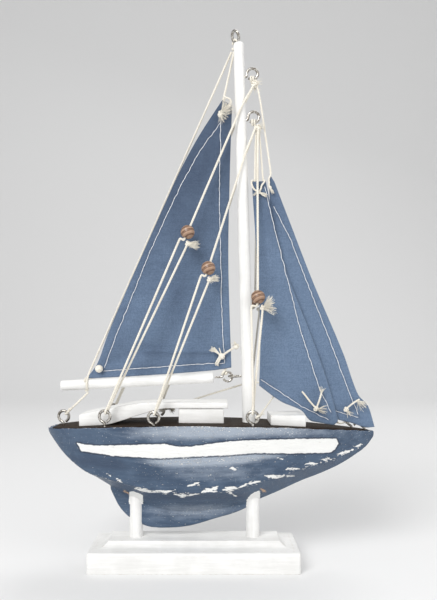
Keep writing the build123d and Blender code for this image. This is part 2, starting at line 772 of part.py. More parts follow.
# ------------------------------------------------------------------ strings of the jibs
inner_tops = [lower_strings + Vector(start) for start in inner_jib_starts]
nodes["jib_inner_halyard"] = tube(
    thin, inner_tops[0], *inner_heads, inner_tops[1], bends=[inner_head_bend] * len(inner_heads)
)
outer_top = upper_strings + Vector(outer_jib_start)
nodes["jib_outer_halyard"] = tube(thin, outer_top, outer_head)

bow_ring, tip_ring = eyes["bow_eye"], eyes["bow_tip_eye"]


def tie(ring, knot, *through):
    """A knot on a jib's starboard face, its string through the cloth and on to an eye."""
    through = [Vector(point) for point in through]
    wire_at, _ = ring.wire_towards(through[-1])
    away = (through[-1] - wire_at).normalized() * (ring.wire + thin + string_gap)
    route = [knot, *through, wire_at + away]
    string_run = tube(thin, *route, bends=[tie_bend] * len(route))
    return knot_ball(knot, tie_knot_radius) + string_run + hitch(ring, through[-1], thin)


inner_tie = tie(bow_ring, *inner_tie_route)
outer_tie = tie(tip_ring, *outer_tie_route)
sheet_start = Vector(outer_sheet_start)
sheet_ring = eyes["deck_eye_fore_starboard"]
sheet_end, _ = sheet_ring.wire_towards(sheet_ring.centre + X)
sheet_side = (sheet_start - sheet_end).normalized() * (sheet_ring.wire + thin + string_gap)
nodes["jib_outer_sheet"] = hitch(sheet_ring, sheet_ring.centre + X, thin) + tube(
    thin, sheet_start, sheet_end + sheet_side
)
port_ring = eyes["deck_eye_mid_port"]
bend_z, bend_ahead, bend_off = inner_sheet_bend
round_mast = Vector(mast_x(bend_z) + bend_ahead, mast_radius(bend_z) + bend_off, bend_z)
port_end, _ = port_ring.wire_towards(round_mast)
port_side = (round_mast - port_end).normalized() * (port_ring.wire + thin + string_gap)
nodes["jib_inner_sheet"] = hitch(port_ring, round_mast, thin) + tube(
    thin, inner_sheet_start, round_mast, port_end + port_side
)


def holed(cloth_solid, *strings):
    """A sail with room for the strings that pass through it."""
    for line in strings:
        cloth_solid -= line
    return cloth_solid


nodes["mainsail"] = holed(mainsail, main_halyard, backstay_upper, clew_lashing, tack_lashing)
nodes["jib_inner"] = holed(jib_inner, inner_tie)
nodes["jib_outer"] = holed(jib_outer, outer_tie)
nodes["main_halyard"] = main_halyard
nodes["backstay_upper"] = backstay_upper
nodes["clew_lashing"] = clew_lashing
nodes["tack_lashing"] = tack_lashing
nodes["jib_inner_tack_tie"] = inner_tie
nodes["jib_outer_tack_tie"] = outer_tie

# ------------------------------------------------------------------ write
for name, shape in nodes.items():
    export_step(shape, f"parts/{name}.step")
print(len(nodes), "nodes")
for name, up in slides.items():
    print(name, "slides along", [round(v, 4) for v in up])
print("string corner radii", string_bend, "ties", tie_bend)
print("boom ring", boom_ring, "gooseneck", eyes["mast_gooseneck_eye"].centre)
print("knot behind the mast's top", top_knot)
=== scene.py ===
# %% [markdown]
# A souvenir yacht, cut from wood and rigged with cotton string. This lesson dresses its packed
# CAD model: every new piece is built in millimetres, in the same frame as the model, and is
# made metres when it is finished, so nothing has to be fitted afterwards.

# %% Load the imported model
import math
import random

import bmesh
import bpy
import numpy as np
from mathutils import Matrix, Vector, noise


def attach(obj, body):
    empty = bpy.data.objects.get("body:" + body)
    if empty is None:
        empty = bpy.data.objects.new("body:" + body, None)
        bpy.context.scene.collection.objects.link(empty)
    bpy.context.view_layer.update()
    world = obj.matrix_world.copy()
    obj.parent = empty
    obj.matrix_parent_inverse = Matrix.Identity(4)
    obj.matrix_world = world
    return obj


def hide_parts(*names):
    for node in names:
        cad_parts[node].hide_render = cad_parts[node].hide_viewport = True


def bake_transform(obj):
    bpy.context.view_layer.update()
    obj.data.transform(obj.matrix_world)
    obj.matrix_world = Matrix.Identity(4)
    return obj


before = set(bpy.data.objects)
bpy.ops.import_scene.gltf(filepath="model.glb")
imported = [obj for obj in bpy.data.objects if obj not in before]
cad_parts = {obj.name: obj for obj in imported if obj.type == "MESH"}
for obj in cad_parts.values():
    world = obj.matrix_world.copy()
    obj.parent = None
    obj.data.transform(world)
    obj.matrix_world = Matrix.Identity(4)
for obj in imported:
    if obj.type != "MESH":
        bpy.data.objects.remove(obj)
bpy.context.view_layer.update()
MM = 0.001
SHIP, BOOM = "ship", "boom_and_mainsail"

# %% [markdown]
# The photograph was taken from the starboard side, from close by and a little under half the
# mast's height. The eye looks straight across the ship, and the lens is shifted a little
# upwards and to the bow, as the frame asks, so that upright things stay upright.

# %% The camera
camera_at = Vector((6.7, -280.0, 95.8))  # millimetres
camera_data = bpy.data.cameras.new("camera")
camera_data.lens = 39.0
camera_data.sensor_width = 36.0
picture_height = 600.0  # pixels, as the two shifts are
camera_data.shift_x = 8.5 / picture_height
camera_data.shift_y = 40.0 / picture_height
camera_data.clip_start = 0.01
camera = bpy.data.objects.new("camera", camera_data)
camera.location = camera_at * MM
camera.rotation_euler = (math.radians(90), 0, 0)
bpy.context.scene.collection.objects.link(camera)
bpy.context.scene.camera = camera
print("Camera at", tuple(camera.location))

# %% [markdown]
# Small helpers for shader nodes. A material or a group is a tree of nodes, and each call puts
# in one node and wires its inputs, which may be numbers or other nodes' outputs.


# %% Helpers that wire nodes
def connect(tree, socket, value):
    """Wires another node's output into a socket, or sets a plain value on it."""
    if isinstance(value, bpy.types.NodeSocket):
        tree.links.new(value, socket)
    else:
        socket.default_value = value


def put(tree, kind, wires=None, **settings):
    """Adds one shader node, sets it and wires its inputs."""
    node = tree.nodes.new("ShaderNode" + kind)
    for name, value in settings.items():
        setattr(node, name, value)
    for name, value in (wires or {}).items():
        connect(tree, node.inputs[name], value)
    return node


def sums(tree, operation, *values):
    """One Math node."""
    return put(tree, "Math", dict(enumerate(values)), operation=operation).outputs[0]


def weighted(tree, first, share, second, other_share):
    """Two numbers added, each times its share."""
    return sums(tree, "MULTIPLY_ADD", first, share, sums(tree, "MULTIPLY", second, other_share))


def swayed(tree, noise_value, amount, value):
    """A number pushed up and down by noise round its middle of one half."""
    return sums(tree, "MULTIPLY_ADD", sums(tree, "SUBTRACT", noise_value, 0.5), amount, value)


def mixed(tree, share, first, second):
    """A colour between two."""
    return put(tree, "Mix", {0: share, 6: first, 7: second}, data_type="RGBA").outputs[2]


def between(tree, value, low, high, to_low=0.0, to_high=1.0):
    """A value stretched from one range to another and held inside it."""
    wires = {
        "Value": value, "From Min": low, "From Max": high, "To Min": to_low, "To Max": to_high,
    }
    return put(tree, "MapRange", wires, interpolation_type="SMOOTHSTEP").outputs[0]


def noisy(tree, place, scale, detail, rough, **more):
    """Soft noise as a number from 0 to 1."""
    wires = {"Vector": place, "Scale": scale, "Detail": detail, "Roughness": rough, **more}
    return put(tree, "TexNoise", wires).outputs["Fac"]


def stretch_by(tree, place, amounts):
    """A place times a number on each axis, which draws a pattern out along the small ones."""
    return put(tree, "VectorMath", {0: place, 1: amounts}, operation="MULTIPLY").outputs[0]


def scaled_by(tree, place, factor):
    """A place times one number."""
    return put(tree, "VectorMath", {0: place, "Scale": factor}, operation="SCALE").outputs[0]


def object_mm(tree):
    """Object coordinates in millimetres."""
    return scaled_by(tree, put(tree, "TexCoord").outputs["Object"], 1000.0)


def carried(tree, label):
    """A number that the mesh carries on its points."""
    return put(tree, "Attribute", attribute_name=label).outputs["Fac"]


def bump(tree, height, distance, strength=1.0):
    """A normal from a height. The distance is in metres."""
    wires = {"Height": height, "Distance": distance, "Strength": strength}
    return put(tree, "Bump", wires).outputs["Normal"]


def new_group(name, inputs, outputs):
    """A node group with named sockets. Gives its tree, what it is given and what it gives."""
    tree = bpy.data.node_groups.new(name, "ShaderNodeTree")
    for label, kind, start in inputs:
        socket = tree.interface.new_socket(label, in_out="INPUT", socket_type="NodeSocket" + kind)
        if start is not None:
            socket.default_value = start
    for label in outputs:
        tree.interface.new_socket(label, in_out="OUTPUT", socket_type="NodeSocketFloat")
    print("Started the group", name)
    return tree, tree.nodes.new("NodeGroupInput").outputs, tree.nodes.new("NodeGroupOutput").inputs


def use_group(tree, group, **wires):
    """Places a group in a material."""
    node = tree.nodes.new("ShaderNodeGroup")
    node.node_tree = group
    for label, value in wires.items():
        connect(tree, node.inputs[label], value)
    return node.outputs


def new_material(name):
    """An empty material with a Principled shader. Gives the material, its tree and shader."""
    material = bpy.data.materials.new(name)
    material.use_nodes = True
    tree = material.node_tree
    return material, tree, tree.nodes["Principled BSDF"]


def dress(tree, shader, colour, rough, normal):
    """Gives the shader its colour, its roughness and its normal."""
    for label, value in (("Base Color", colour), ("Roughness", rough), ("Normal", normal)):
        connect(tree, shader.inputs[label], value)


# %% [markdown]
# Hand-brushed paint is never one flat tone. Long soft streaks follow the brush, blotches show
# where the coat is thick or thin, and fine ridges catch the light. One group makes all three,
# and the vector's stretch says which way the brush went.

# %% The brushed paint group
brushed_paint, given, gives = new_group(
    "brushed_paint",
    [("Vector", "Vector", None), ("Stretch", "Vector", (1.0, 1.0, 1.0))], ["Tone", "Height"],
)
stretched = stretch_by(brushed_paint, given["Vector"], given["Stretch"])
blotches = noisy(brushed_paint, given["Vector"], 0.11, 3.0, 0.6)
streaks = noisy(brushed_paint, stretched, 0.9, 4.0, 0.65)
ridges = noisy(brushed_paint, stretched, 3.2, 2.0, 0.5)
connect(brushed_paint, gives["Tone"], weighted(brushed_paint, blotches, 0.5, streaks, 0.5))
connect(brushed_paint, gives["Height"], weighted(brushed_paint, ridges, 0.7, streaks, 0.3))

# %% [markdown]
# Paint on wood rubs through at its edges first. A Bevel node rounds the shading over an edge,
# so where its normal leaves the real one, an edge is near. Noise breaks that line into chips.

# %% The worn edge group
worn_edge, given, gives = new_group(
    "worn_edge",
    [("Vector", "Vector", None), ("Width", "Float", 0.0006), ("Amount", "Float", 0.5)], ["Worn"],
)
rounded = put(worn_edge, "Bevel", {"Radius": given["Width"]}, samples=4).outputs[0]
flat = put(worn_edge, "NewGeometry").outputs["Normal"]
same = put(worn_edge, "VectorMath", {0: rounded, 1: flat}, operation="DOT_PRODUCT").outputs["Value"]
edge = between(worn_edge, same, 0.99, 0.8)
flakes = noisy(worn_edge, given["Vector"], 0.55, 5.0, 0.7)
likely = sums(worn_edge, "MULTIPLY_ADD", edge, given["Amount"], flakes)
connect(worn_edge, gives["Worn"], between(worn_edge, likely, 0.98, 1.04))

# %% [markdown]
# Grain runs along a board as long thin streaks. Noise squeezed across the grain gives them,
# for the stained deck and for the bare wood where paint has gone.

# %% The grain group
wood_grain, given, gives = new_group(
    "wood_grain",
    [("Vector", "Vector", None), ("Stretch", "Vector", (0.06, 1.0, 1.0))], ["Tone", "Height"],
)
along = stretch_by(wood_grain, given["Vector"], given["Stretch"])
bands = noisy(wood_grain, along, 1.1, 5.0, 0.6, Distortion=0.5)
connect(wood_grain, gives["Tone"], between(wood_grain, bands, 0.3, 0.7))
connect(wood_grain, gives["Height"], noisy(wood_grain, along, 6.0, 2.0, 0.6))

# %% [markdown]
# White paint is on the stand, the spars and the deck blocks. It is a warm white, a little
# uneven, with chips along its edges that show pale wood. Each piece gets the brush direction
# that suits it.


# %% White paint
def white_paint(name, stretch):
    """Warm white, brushed along the axis that the stretch makes small."""
    material, tree, shader = new_material(name)
    place = object_mm(tree)
    brush = use_group(tree, brushed_paint, Vector=place, Stretch=stretch)
    worn = use_group(tree, worn_edge, Vector=place, Width=0.0007, Amount=0.5)["Worn"]
    grain = use_group(tree, wood_grain, Vector=place, Stretch=stretch)["Tone"]
    thick = between(tree, brush["Tone"], 0.3, 0.7)
    paint = mixed(tree, thick, (0.74, 0.735, 0.715, 1), (0.87, 0.865, 0.85, 1))
    wood = mixed(tree, grain, (0.36, 0.27, 0.17, 1), (0.55, 0.43, 0.29, 1))
    rough = between(tree, brush["Tone"], 0.3, 0.7, 0.42, 0.6)
    height = sums(tree, "SUBTRACT", sums(tree, "MULTIPLY", brush["Height"], 0.6), worn)
    dress(
        tree, shader, mixed(tree, worn, paint, wood),
        sums(tree, "MULTIPLY_ADD", worn, 0.25, rough), bump(tree, height, 0.00012, 0.7),
    )
    return material


white_along = white_paint("white_paint_along", (0.08, 1.0, 1.0))
white_upright = white_paint("white_paint_upright", (1.0, 1.0, 0.08))
print("Made", white_along.name, "and", white_upright.name)

# %% [markdown]
# A finished piece goes through one door: its mesh becomes metres, its object stays at the
# origin, and it is told its material, the body it moves with and the CAD nodes it stands for.


# %% Finishing a piece
def finish_piece(name, shape, material, body, nodes=()):
    """Makes an object of a bmesh or a mesh in millimetres and ties it to the frame."""
    if isinstance(shape, bmesh.types.BMesh):
        mesh = bpy.data.meshes.new(name)
        shape.to_mesh(mesh)
        shape.free()
    else:
        mesh = shape
        mesh.name = name
    mesh.transform(Matrix.Scale(MM, 4))
    mesh.materials.clear()
    mesh.materials.append(material)
    mesh.polygons.foreach_set("use_smooth", [True] * len(mesh.polygons))
    mesh.update()
    piece = bpy.data.objects.new(name, mesh)
    bpy.context.scene.collection.objects.link(piece)
    if body:
        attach(piece, body)
    if nodes:
        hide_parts(*nodes)
    print(name, len(mesh.polygons), "faces")
    return piece


def sharpen(piece, degrees):
    """Keeps edges sharper than this from being shaded round."""
    shape = bmesh.new()
    shape.from_mesh(piece.data)
    for edge in shape.edges:
        edge.smooth = not (edge.calc_face_angle(0.0) > math.radians(degrees))
    shape.to_mesh(piece.data)
    shape.free()


# %% [markdown]
# Most wooden pieces start as a cube brought to size, or as a board cut to an outline. Their
# sharp edges are then beveled, because real wood is always a little rounded.


# %% Blocks, boards and rounded edges
def box(shape, size, centre):
    """A cube brought to its size and place. Gives its corners."""
    corners = bmesh.ops.create_cube(shape, size=1.0)["verts"]
    bmesh.ops.scale(shape, vec=size, verts=corners)
    bmesh.ops.translate(shape, vec=centre, verts=corners)
    return corners


def board(outline, thickness):
    """A board cut to an outline of (x, z), standing on the ship's middle plane."""
    shape = bmesh.new()
    side = shape.faces.new([shape.verts.new((x, -thickness / 2, z)) for x, z in outline])
    pulled = bmesh.ops.extrude_face_region(shape, geom=[side])["geom"]
    far_corners = [part for part in pulled if isinstance(part, bmesh.types.BMVert)]
    bmesh.ops.translate(shape, verts=far_corners, vec=(0, thickness, 0))
    bmesh.ops.recalc_face_normals(shape, faces=shape.faces[:])
    return shape


def edges_bent(shape, least, most=math.pi):
    """The edges whose two faces meet at an angle in this range, in radians."""
    return [e for e in shape.edges if least < e.calc_face_angle(0.0) < most]


def round_off(shape, edges, offset, segments, clamp=True):
    """Bevels edges to a round."""
    bmesh.ops.bevel(
        shape, geom=edges, offset=offset, offset_type="OFFSET", affect="EDGES",
        segments=segments, profile=0.5, material=-1, clamp_overlap=clamp,
    )


# %% [markdown]
# The sizes below are the model's own. The hull's form repeats here as the carver's rules: the
# deck is a long arch, the plan swells to the middle, and each station has a chine and a bottom.

# %% The hull's rules
stern_x, hull_length = -62.6, 140.0
bow_x = stern_x + hull_length
hull_depth = 38.5
deck_crest = Vector((-3.0, 0.0, 60.9))
deck_radius = 830.0
half_beam, midship_x = 17.0, 0.0
stem_half, transom_half = 1.0, 2.5
stations = (
    (0.000, 0.061, 0.040), (0.022, 0.147, 0.134), (0.054, 0.296, 0.278), (0.090, 0.433, 0.404),
    (0.133, 0.556, 0.512), (0.183, 0.683, 0.572), (0.247, 0.824, 0.637), (0.326, 0.950, 0.711),
    (0.419, 1.000, 0.745), (0.519, 0.966, 0.727), (0.619, 0.885, 0.646), (0.690, 0.782, 0.566),
    (0.761, 0.651, 0.471), (0.833, 0.528, 0.388), (0.897, 0.400, 0.293), (0.947, 0.273, 0.203),
    (0.979, 0.174, 0.129), (1.000, 0.063, 0.039),
)


def deck_z(x):
    """Height of the deck's top."""
    return deck_crest.z - deck_radius + math.sqrt(deck_radius**2 - (x - deck_crest.x) ** 2)


def half_breadth(x):
    """Half the hull's width at the deck's edge."""
    if x > midship_x:
        share = (x - midship_x) / (bow_x - midship_x)
        return stem_half + (half_beam - stem_half) * max(0.0, 1 - share**2.2) ** 0.9
    share = (midship_x - x) / (midship_x - stern_x)
    return transom_half + (half_beam - transom_half) * max(0.0, 1 - share**3.0) ** 0.5


def eased(table, at):
    """A smooth value between the rows of a table of (place, value)."""
    for i in range(len(table) - 1):
        (a, va), (b, vb) = table[i], table[i + 1]
        if at <= b or i == len(table) - 2:
            before = table[max(i - 1, 0)]
            after = table[min(i + 2, len(table) - 1)]
            slope_a = (vb - before[1]) / (b - before[0]) * (b - a)
            slope_b = (after[1] - va) / (after[0] - a) * (b - a)
            t = min(max((at - a) / (b - a), 0.0), 1.0)
            return (
                (2 * t**3 - 3 * t**2 + 1) * va + (t**3 - 2 * t**2 + t) * slope_a
                + (3 * t**2 - 2 * t**3) * vb + (t**3 - t**2) * slope_b
            )


bottom_table = [(stern_x + s * hull_length, b) for s, b, _ in stations]
chine_table = [(stern_x + s * hull_length, c) for s, _, c in stations]


def bottom_z(x):
    """Height of the bottom's centreline."""
    return deck_z(x) - hull_depth * eased(bottom_table, x)


print("Deck crest", deck_z(-3.0), "bottom amidships", round(bottom_z(-4.0), 2))

# %% [markdown]
# The hull is one carved block with a fin under it. It starts as a grid wrapped round the
# sections, open ends filled, with the fin pushed through its bottom. A voxel remesh melts both
# into one skin, and a few smoothing passes leave the soft edges that a rasp and sandpaper do.


# %% The hull's sections
rim, recess = 1.1, 0.85  # painted edge left round the let-in deck, and its depth
chine_share, keel_half = 0.65, 1.6  # the chine's place across, and half the flat keel


def section_corners(x):
    """Half a section as (off the centreline, height), from the deck's middle to the keel."""
    at_deck = half_breadth(x)
    at_chine = chine_share * at_deck
    at_bottom = min(keel_half, 0.6 * at_chine)
    top, chine = deck_z(x), deck_z(x) - hull_depth * eased(chine_table, x)
    inner = max(at_deck - rim, 0.25 * at_deck)
    sunk = recess if at_deck > 2.4 * rim else 0.0
    return [
        (0.0, top - sunk), (inner, top - sunk), (inner, top), (at_deck, top),
        (at_chine, chine), (at_bottom, bottom_z(x)), (0.0, bottom_z(x)),
    ]


runs = (5, 1, 2, 12, 12, 2)  # how many cells each stretch of the half section gets
around = 2 * sum(runs)


def section_point(x, step):
    """A point of the closed section: step counts from the deck's middle down to port and back."""
    mirrored = step > around / 2
    step = around - step if mirrored else step
    corners = section_corners(x)
    for (y0, z0), (y1, z1), cells in zip(corners, corners[1:], runs):
        if step <= cells:
            y, z = y0 + (y1 - y0) * step / cells, z0 + (z1 - z0) * step / cells
            return Vector((x, -y if mirrored else y, z))
        step -= cells
    return Vector((x, 0, corners[-1][1]))


hull_cells = 120
hull_shape = bmesh.new()
bmesh.ops.create_grid(hull_shape, x_segments=hull_cells, y_segments=around, size=0.5)
for vert in hull_shape.verts:
    x = stern_x + (vert.co.x + 0.5) * hull_length
    vert.co = section_point(x, round((vert.co.y + 0.5) * around))
bmesh.ops.remove_doubles(hull_shape, verts=hull_shape.verts[:], dist=0.001)
bmesh.ops.holes_fill(hull_shape, edges=[e for e in hull_shape.edges if e.is_boundary], sides=0)
bmesh.ops.recalc_face_normals(hull_shape, faces=hull_shape.faces[:])
print("Hull block", len(hull_shape.faces), "faces")

# %% The fin
fin_aft, fin_length, fin_thickness = -36.6, 65.6, 3.0
fin_table = [
    (0.000, 1.1), (0.061, 6.8), (0.137, 9.2), (0.244, 9.6), (0.384, 8.0),
    (0.543, 6.3), (0.695, 4.5), (0.863, 2.8), (1.000, 0.0),
]
fin_outline = []
for i in range(41):
    share = i / 40
    x = fin_aft + share * fin_length
    fin_outline.append((x, bottom_z(x) - eased(fin_table, share)))
# The two corners of its root, sunk in the hull.
fin_outline.append((fin_aft + fin_length - 0.8, fin_outline[-1][1] + 2.8))
fin_outline.append((fin_aft + 5.6, bottom_z(fin_aft) + 1.7))
fin_shape = board(fin_outline, fin_thickness)
round_off(fin_shape, edges_bent(fin_shape, 1.2), 0.6, 2)
fin_mesh = bpy.data.meshes.new("fin")
fin_shape.to_mesh(fin_mesh)
fin_shape.free()
hull_shape.from_mesh(fin_mesh)
print("Hull and fin", len(hull_shape.faces), "faces")


# %% Melting the two together
def with_modifiers(shape, name, *settings):
    """A bmesh in millimetres run through modifiers. Gives the resulting mesh."""
    mesh = bpy.data.meshes.new(name)
    shape.to_mesh(mesh)
    shape.free()
    holder = bpy.data.objects.new(name, mesh)
    bpy.context.scene.collection.objects.link(holder)
    for kind, values in settings:
        modifier = holder.modifiers.new(kind.lower(), kind)
        for label, value in values.items():
            setattr(modifier, label, value)
    seen = holder.evaluated_get(bpy.context.evaluated_depsgraph_get())
    result = bpy.data.meshes.new_from_object(seen)
    bpy.data.objects.remove(holder)
    return result


voxel, sanded_off = 0.52, 0.12  # the remesh's cell, and what the sanding takes away
hull_mesh = with_modifiers(
    hull_shape, "hull_skin",
    ("REMESH", {"mode": "VOXEL", "voxel_size": voxel}),
    ("SMOOTH", {"factor": 0.5, "iterations": 4}),
)
skin = np.array([v.co for v in hull_mesh.vertices])
outwards = np.array([v.normal for v in hull_mesh.vertices])
for i, place in enumerate(skin):
    place = Vector(place)
    soft = noise.noise(place * 0.055) * 0.22 + noise.noise(place * 0.3) * 0.05
    skin[i] += outwards[i] * (soft - sanded_off)
hull_mesh.vertices.foreach_set("co", skin.ravel())
hull_mesh.update()
print("Hull skin", len(hull_mesh.polygons), "faces")

# %% [markdown]
# Where the paint has gone, and where highlights and shade are painted into the blue, is drawn on
# the skin itself, as numbers on its points. Each place was judged from the starboard side, so a
# point of the skin is looked up where the camera sees it against the ship's middle plane. The far
# side repeats the same wear and painted light, mirrored.

# %% The band, the wear and the painted light, as seen from the side
band_edge = (
    (-50.7, 51.5), (-43.0, 50.3), (-25.0, 50.7), (-12.6, 51.0), (-7.2, 49.9), (-1.3, 49.9),
    (11.0, 51.7), (22.1, 52.6), (42.8, 53.2), (61.1, 53.4), (62.3, 51.2), (60.1, 48.3),
    (58.7, 47.3), (41.8, 46.8), (26.1, 47.0), (12.3, 46.0), (-14.6, 44.7), (-34.8, 45.8),
    (-48.7, 47.8),
)
# Chips, each a run of (x, z, half its width) in millimetres.
chips = (
    ((-37.8, 38.2, 0.3), (-36.8, 37.6, 0.6), (-35.8, 36.8, 0.2)),
    ((-33.5, 36.0, 0.3), (-32.3, 35.3, 0.6), (-31.0, 34.6, 0.2)),
    ((-25.3, 31.9, 0.5), (-22.4, 31.1, 1.1), (-18.1, 30.4, 0.55), (-14.7, 30.6, 0.6),
     (-12.4, 30.3, 1.2), (-11.1, 30.5, 0.5), (-8.0, 31.4, 0.2)),
    ((-3.1, 32.8, 0.3), (-0.3, 33.5, 0.6), (1.1, 34.1, 1.0), (2.2, 33.3, 0.4)),
    ((-8.7, 29.5, 0.25), (-6.6, 28.8, 0.6), (-4.1, 28.9, 0.8), (-1.7, 29.0, 0.5),
     (3.4, 30.0, 0.25)),
    ((3.4, 30.5, 0.4), (5.8, 31.0, 1.2), (8.6, 31.3, 1.4), (9.9, 32.6, 0.6)),
    ((12.7, 31.2, 0.6), (14.8, 31.6, 1.5), (17.0, 32.0, 1.1), (19.7, 32.3, 0.4),
     (23.0, 34.0, 0.6), (25.6, 34.5, 0.8), (28.6, 35.0, 0.3)),
    ((15.3, 30.2, 0.7), (16.6, 29.3, 0.4), (17.8, 28.4, 0.3)),
    ((30.5, 37.3, 0.4), (33.1, 37.0, 0.9), (35.5, 36.6, 0.7), (38.7, 37.3, 0.3)),
    ((15.0, 40.5, 0.4), (16.6, 40.6, 0.9), (17.8, 39.8, 0.3)),
    ((31.0, 37.0, 0.3), (34.5, 37.3, 0.7), (38.4, 37.2, 0.3)),
    ((39.0, 40.0, 0.3), (42.2, 40.4, 0.8), (45.2, 40.3, 0.3)),
    ((39.3, 37.3, 0.4), (42.8, 37.3, 0.4)),
    ((47.6, 42.1, 0.3), (50.4, 42.6, 0.8), (53.0, 42.6, 0.3)),
    ((54.5, 44.0, 0.3), (57.0, 44.5, 0.8), (59.0, 44.6, 0.3)),
    ((61.5, 46.5, 0.4), (65.0, 47.3, 0.9), (68.4, 48.6, 0.4)),
    ((68.6, 49.9, 0.4), (72.2, 50.8, 0.6)), ((35.9, 44.9, 0.4), (38.1, 44.3, 0.4)),
)
# Wood left bare beside the posts, and the white mouths that the posts are let into.
bare_spots = (((-30.2, 30.8), (-28.6, 29.9), 0.55), ((28.6, 31.6), (30.3, 30.6), 0.65))
mouths = (
    ((-28.1, 24.9), (-28.1, 30.5), (-26.0, 30.6), (-22.3, 29.1), (-22.2, 24.9)),
    ((22.4, 21.8), (22.4, 26.8), (24.1, 29.1), (26.0, 30.2), (28.2, 31.1), (28.3, 21.8)),
)
# Where the blue is thin and rubbed pale, and where highlights and shade are painted in: from, to,
# half the width and how strongly, a negative strength being painted shade.
thin_paint_and_painted_light_zones = (
    ((-46.0, 55.4), (56.0, 57.6), 3.6, 1.2), ((-36.0, 43.0), (34.0, 44.2), 2.1, 1.4),
    ((4.0, 44.6), (46.0, 46.4), 1.8, 0.9), ((10.0, 57.2), (84.0, 55.6), 3.2, 0.5),
    ((-62.0, 45.0), (-12.0, 40.5), 2.6, -0.5), ((-34.0, 38.0), (50.0, 38.6), 3.6, 0.5),
    ((-34.0, 21.5), (34.0, 23.5), 4.2, 0.6), ((-50.0, 28.6), (44.0, 27.6), 2.6, -0.45),
)


def to_strokes(points, a, b):
    """Distance of many points from the stroke a-b, and how far along it each is."""
    a, b = np.array(a, float), np.array(b, float)
    run = b - a
    share = np.clip(((points - a) @ run) / (run @ run), 0, 1)
    return np.linalg.norm(points - (a + share[:, None] * run), axis=1), share


def inside(points, outline):
    """Which points lie inside a closed outline."""
    hit = np.zeros(len(points), bool)
    for (x0, z0), (x1, z1) in zip(outline, outline[1:] + outline[:1]):
        crosses = (z0 > points[:, 1]) != (z1 > points[:, 1])
        reach = (x1 - x0) * (points[:, 1] - z0) / (z1 - z0 + 1e-12) + x0
        hit ^= crosses & (points[:, 0] < reach)
    return hit


depth = (-camera_at.y) / (-camera_at.y - np.abs(skin[:, 1]))
seen = np.column_stack((
    camera_at.x + (skin[:, 0] - camera_at.x) * depth,
    camera_at.z + (skin[:, 2] - camera_at.z) * depth,
))
band_far = np.min(
    [to_strokes(seen, a, b)[0] for a, b in zip(band_edge, band_edge[1:] + band_edge[:1])], axis=0
)
band = np.where(inside(seen, list(band_edge)), band_far, -band_far)
worn = np.zeros(len(skin))
for run in chips:
    for (x0, z0, half0), (x1, z1, half1) in zip(run, run[1:]):
        far, share = to_strokes(seen, (x0, z0), (x1, z1))
        worn = np.maximum(worn, 0.95 * np.exp(-((far / (half0 + (half1 - half0) * share)) ** 2)))
for mouth in mouths:
    edges = zip(mouth, mouth[1:] + mouth[:1])
    far = np.min([to_strokes(seen, a, b)[0] for a, b in edges], axis=0)
    worn = np.maximum(worn, np.where(inside(seen, mouth), 0.9 + 2 * far, 0.0))
bare = np.zeros(len(skin))
for a, b, half in bare_spots:
    bare = np.maximum(bare, np.exp(-((to_strokes(seen, a, b)[0] / half) ** 2)))
deck_height = np.array([deck_z(min(max(x, stern_x), bow_x)) for x in skin[:, 0]])
below_deck = deck_height - skin[:, 2]
chine_height = deck_height - hull_depth * np.array([eased(chine_table, x) for x in skin[:, 0]])
on_chine = np.exp(-(((skin[:, 2] - chine_height) / 0.8) ** 2)) * (below_deck > 6)
worn = np.maximum(worn, 0.3 * on_chine)
# Painted highlights and painted shade, together with the thin rubbed blue, in one field.
rub_and_painted_light = np.zeros(len(skin))
for a, b, half, strength in thin_paint_and_painted_light_zones:
    far, share = to_strokes(seen, a, b)
    rub_and_painted_light += strength * np.exp(-((far / half) ** 2)) * np.sin(np.pi * share) ** 1.5
rim_line = np.exp(-((below_deck / 0.45) ** 2))
for label, values in (
    ("band", band), ("worn", worn), ("rub_and_painted_light", rub_and_painted_light), ("rim", rim_line), ("bare", bare)
):
    hull_mesh.attributes.new(label, "FLOAT", "POINT").data.foreach_set("value", values)
print("Band points", int((band > 0).sum()), "of", len(skin))

# %% [markdown]
# The hull is dusty blue, brushed on over white. The blue is thin where it was dragged dry, and
# paler still where a highlight is painted in; painted shade darkens it aft under the band and low
# on the sides. The white band has a torn hand-cut edge with a darker line, and chips show the white
# undercoat.

# %% The hull's paint
hull_paint, tree, shader = new_material("hull_paint")
place = object_mm(tree)
brush = use_group(tree, brushed_paint, Vector=place, Stretch=(0.1, 1.0, 0.8))
ragged = noisy(tree, place, 0.45, 6.0, 0.7)
torn = noisy(tree, stretch_by(tree, place, (0.35, 1.0, 1.0)), 1.5, 5.0, 0.65)
band_at = swayed(tree, ragged, 1.3, carried(tree, "band"))
in_band = between(tree, band_at, -0.05, 0.2)
band_line = sums(
    tree, "SUBTRACT", between(tree, band_at, -0.75, -0.3), between(tree, band_at, -0.15, 0.1)
)
chipped = between(tree, swayed(tree, torn, 3.0, carried(tree, "worn")), 0.52, 0.66)
specks = noisy(tree, stretch_by(tree, place, (0.45, 1.0, 1.0)), 2.6, 3.0, 0.6)
speck_at = sums(tree, "MULTIPLY_ADD", carried(tree, "rim"), 0.15, specks)
speck_at = sums(tree, "MULTIPLY_ADD", carried(tree, "rub_and_painted_light"), 0.075, speck_at)
chip = sums(tree, "MAXIMUM", chipped, between(tree, speck_at, 0.68, 0.73))
# Paler blue where it is thin and dry-brushed, and where a highlight is painted in.
dry_brush_and_highlight = between(tree, swayed(tree, brush["Tone"], 1.1, carried(tree, "rub_and_painted_light")), 0.1, 1.1)
brushed = between(tree, brush["Tone"], 0.35, 0.65)
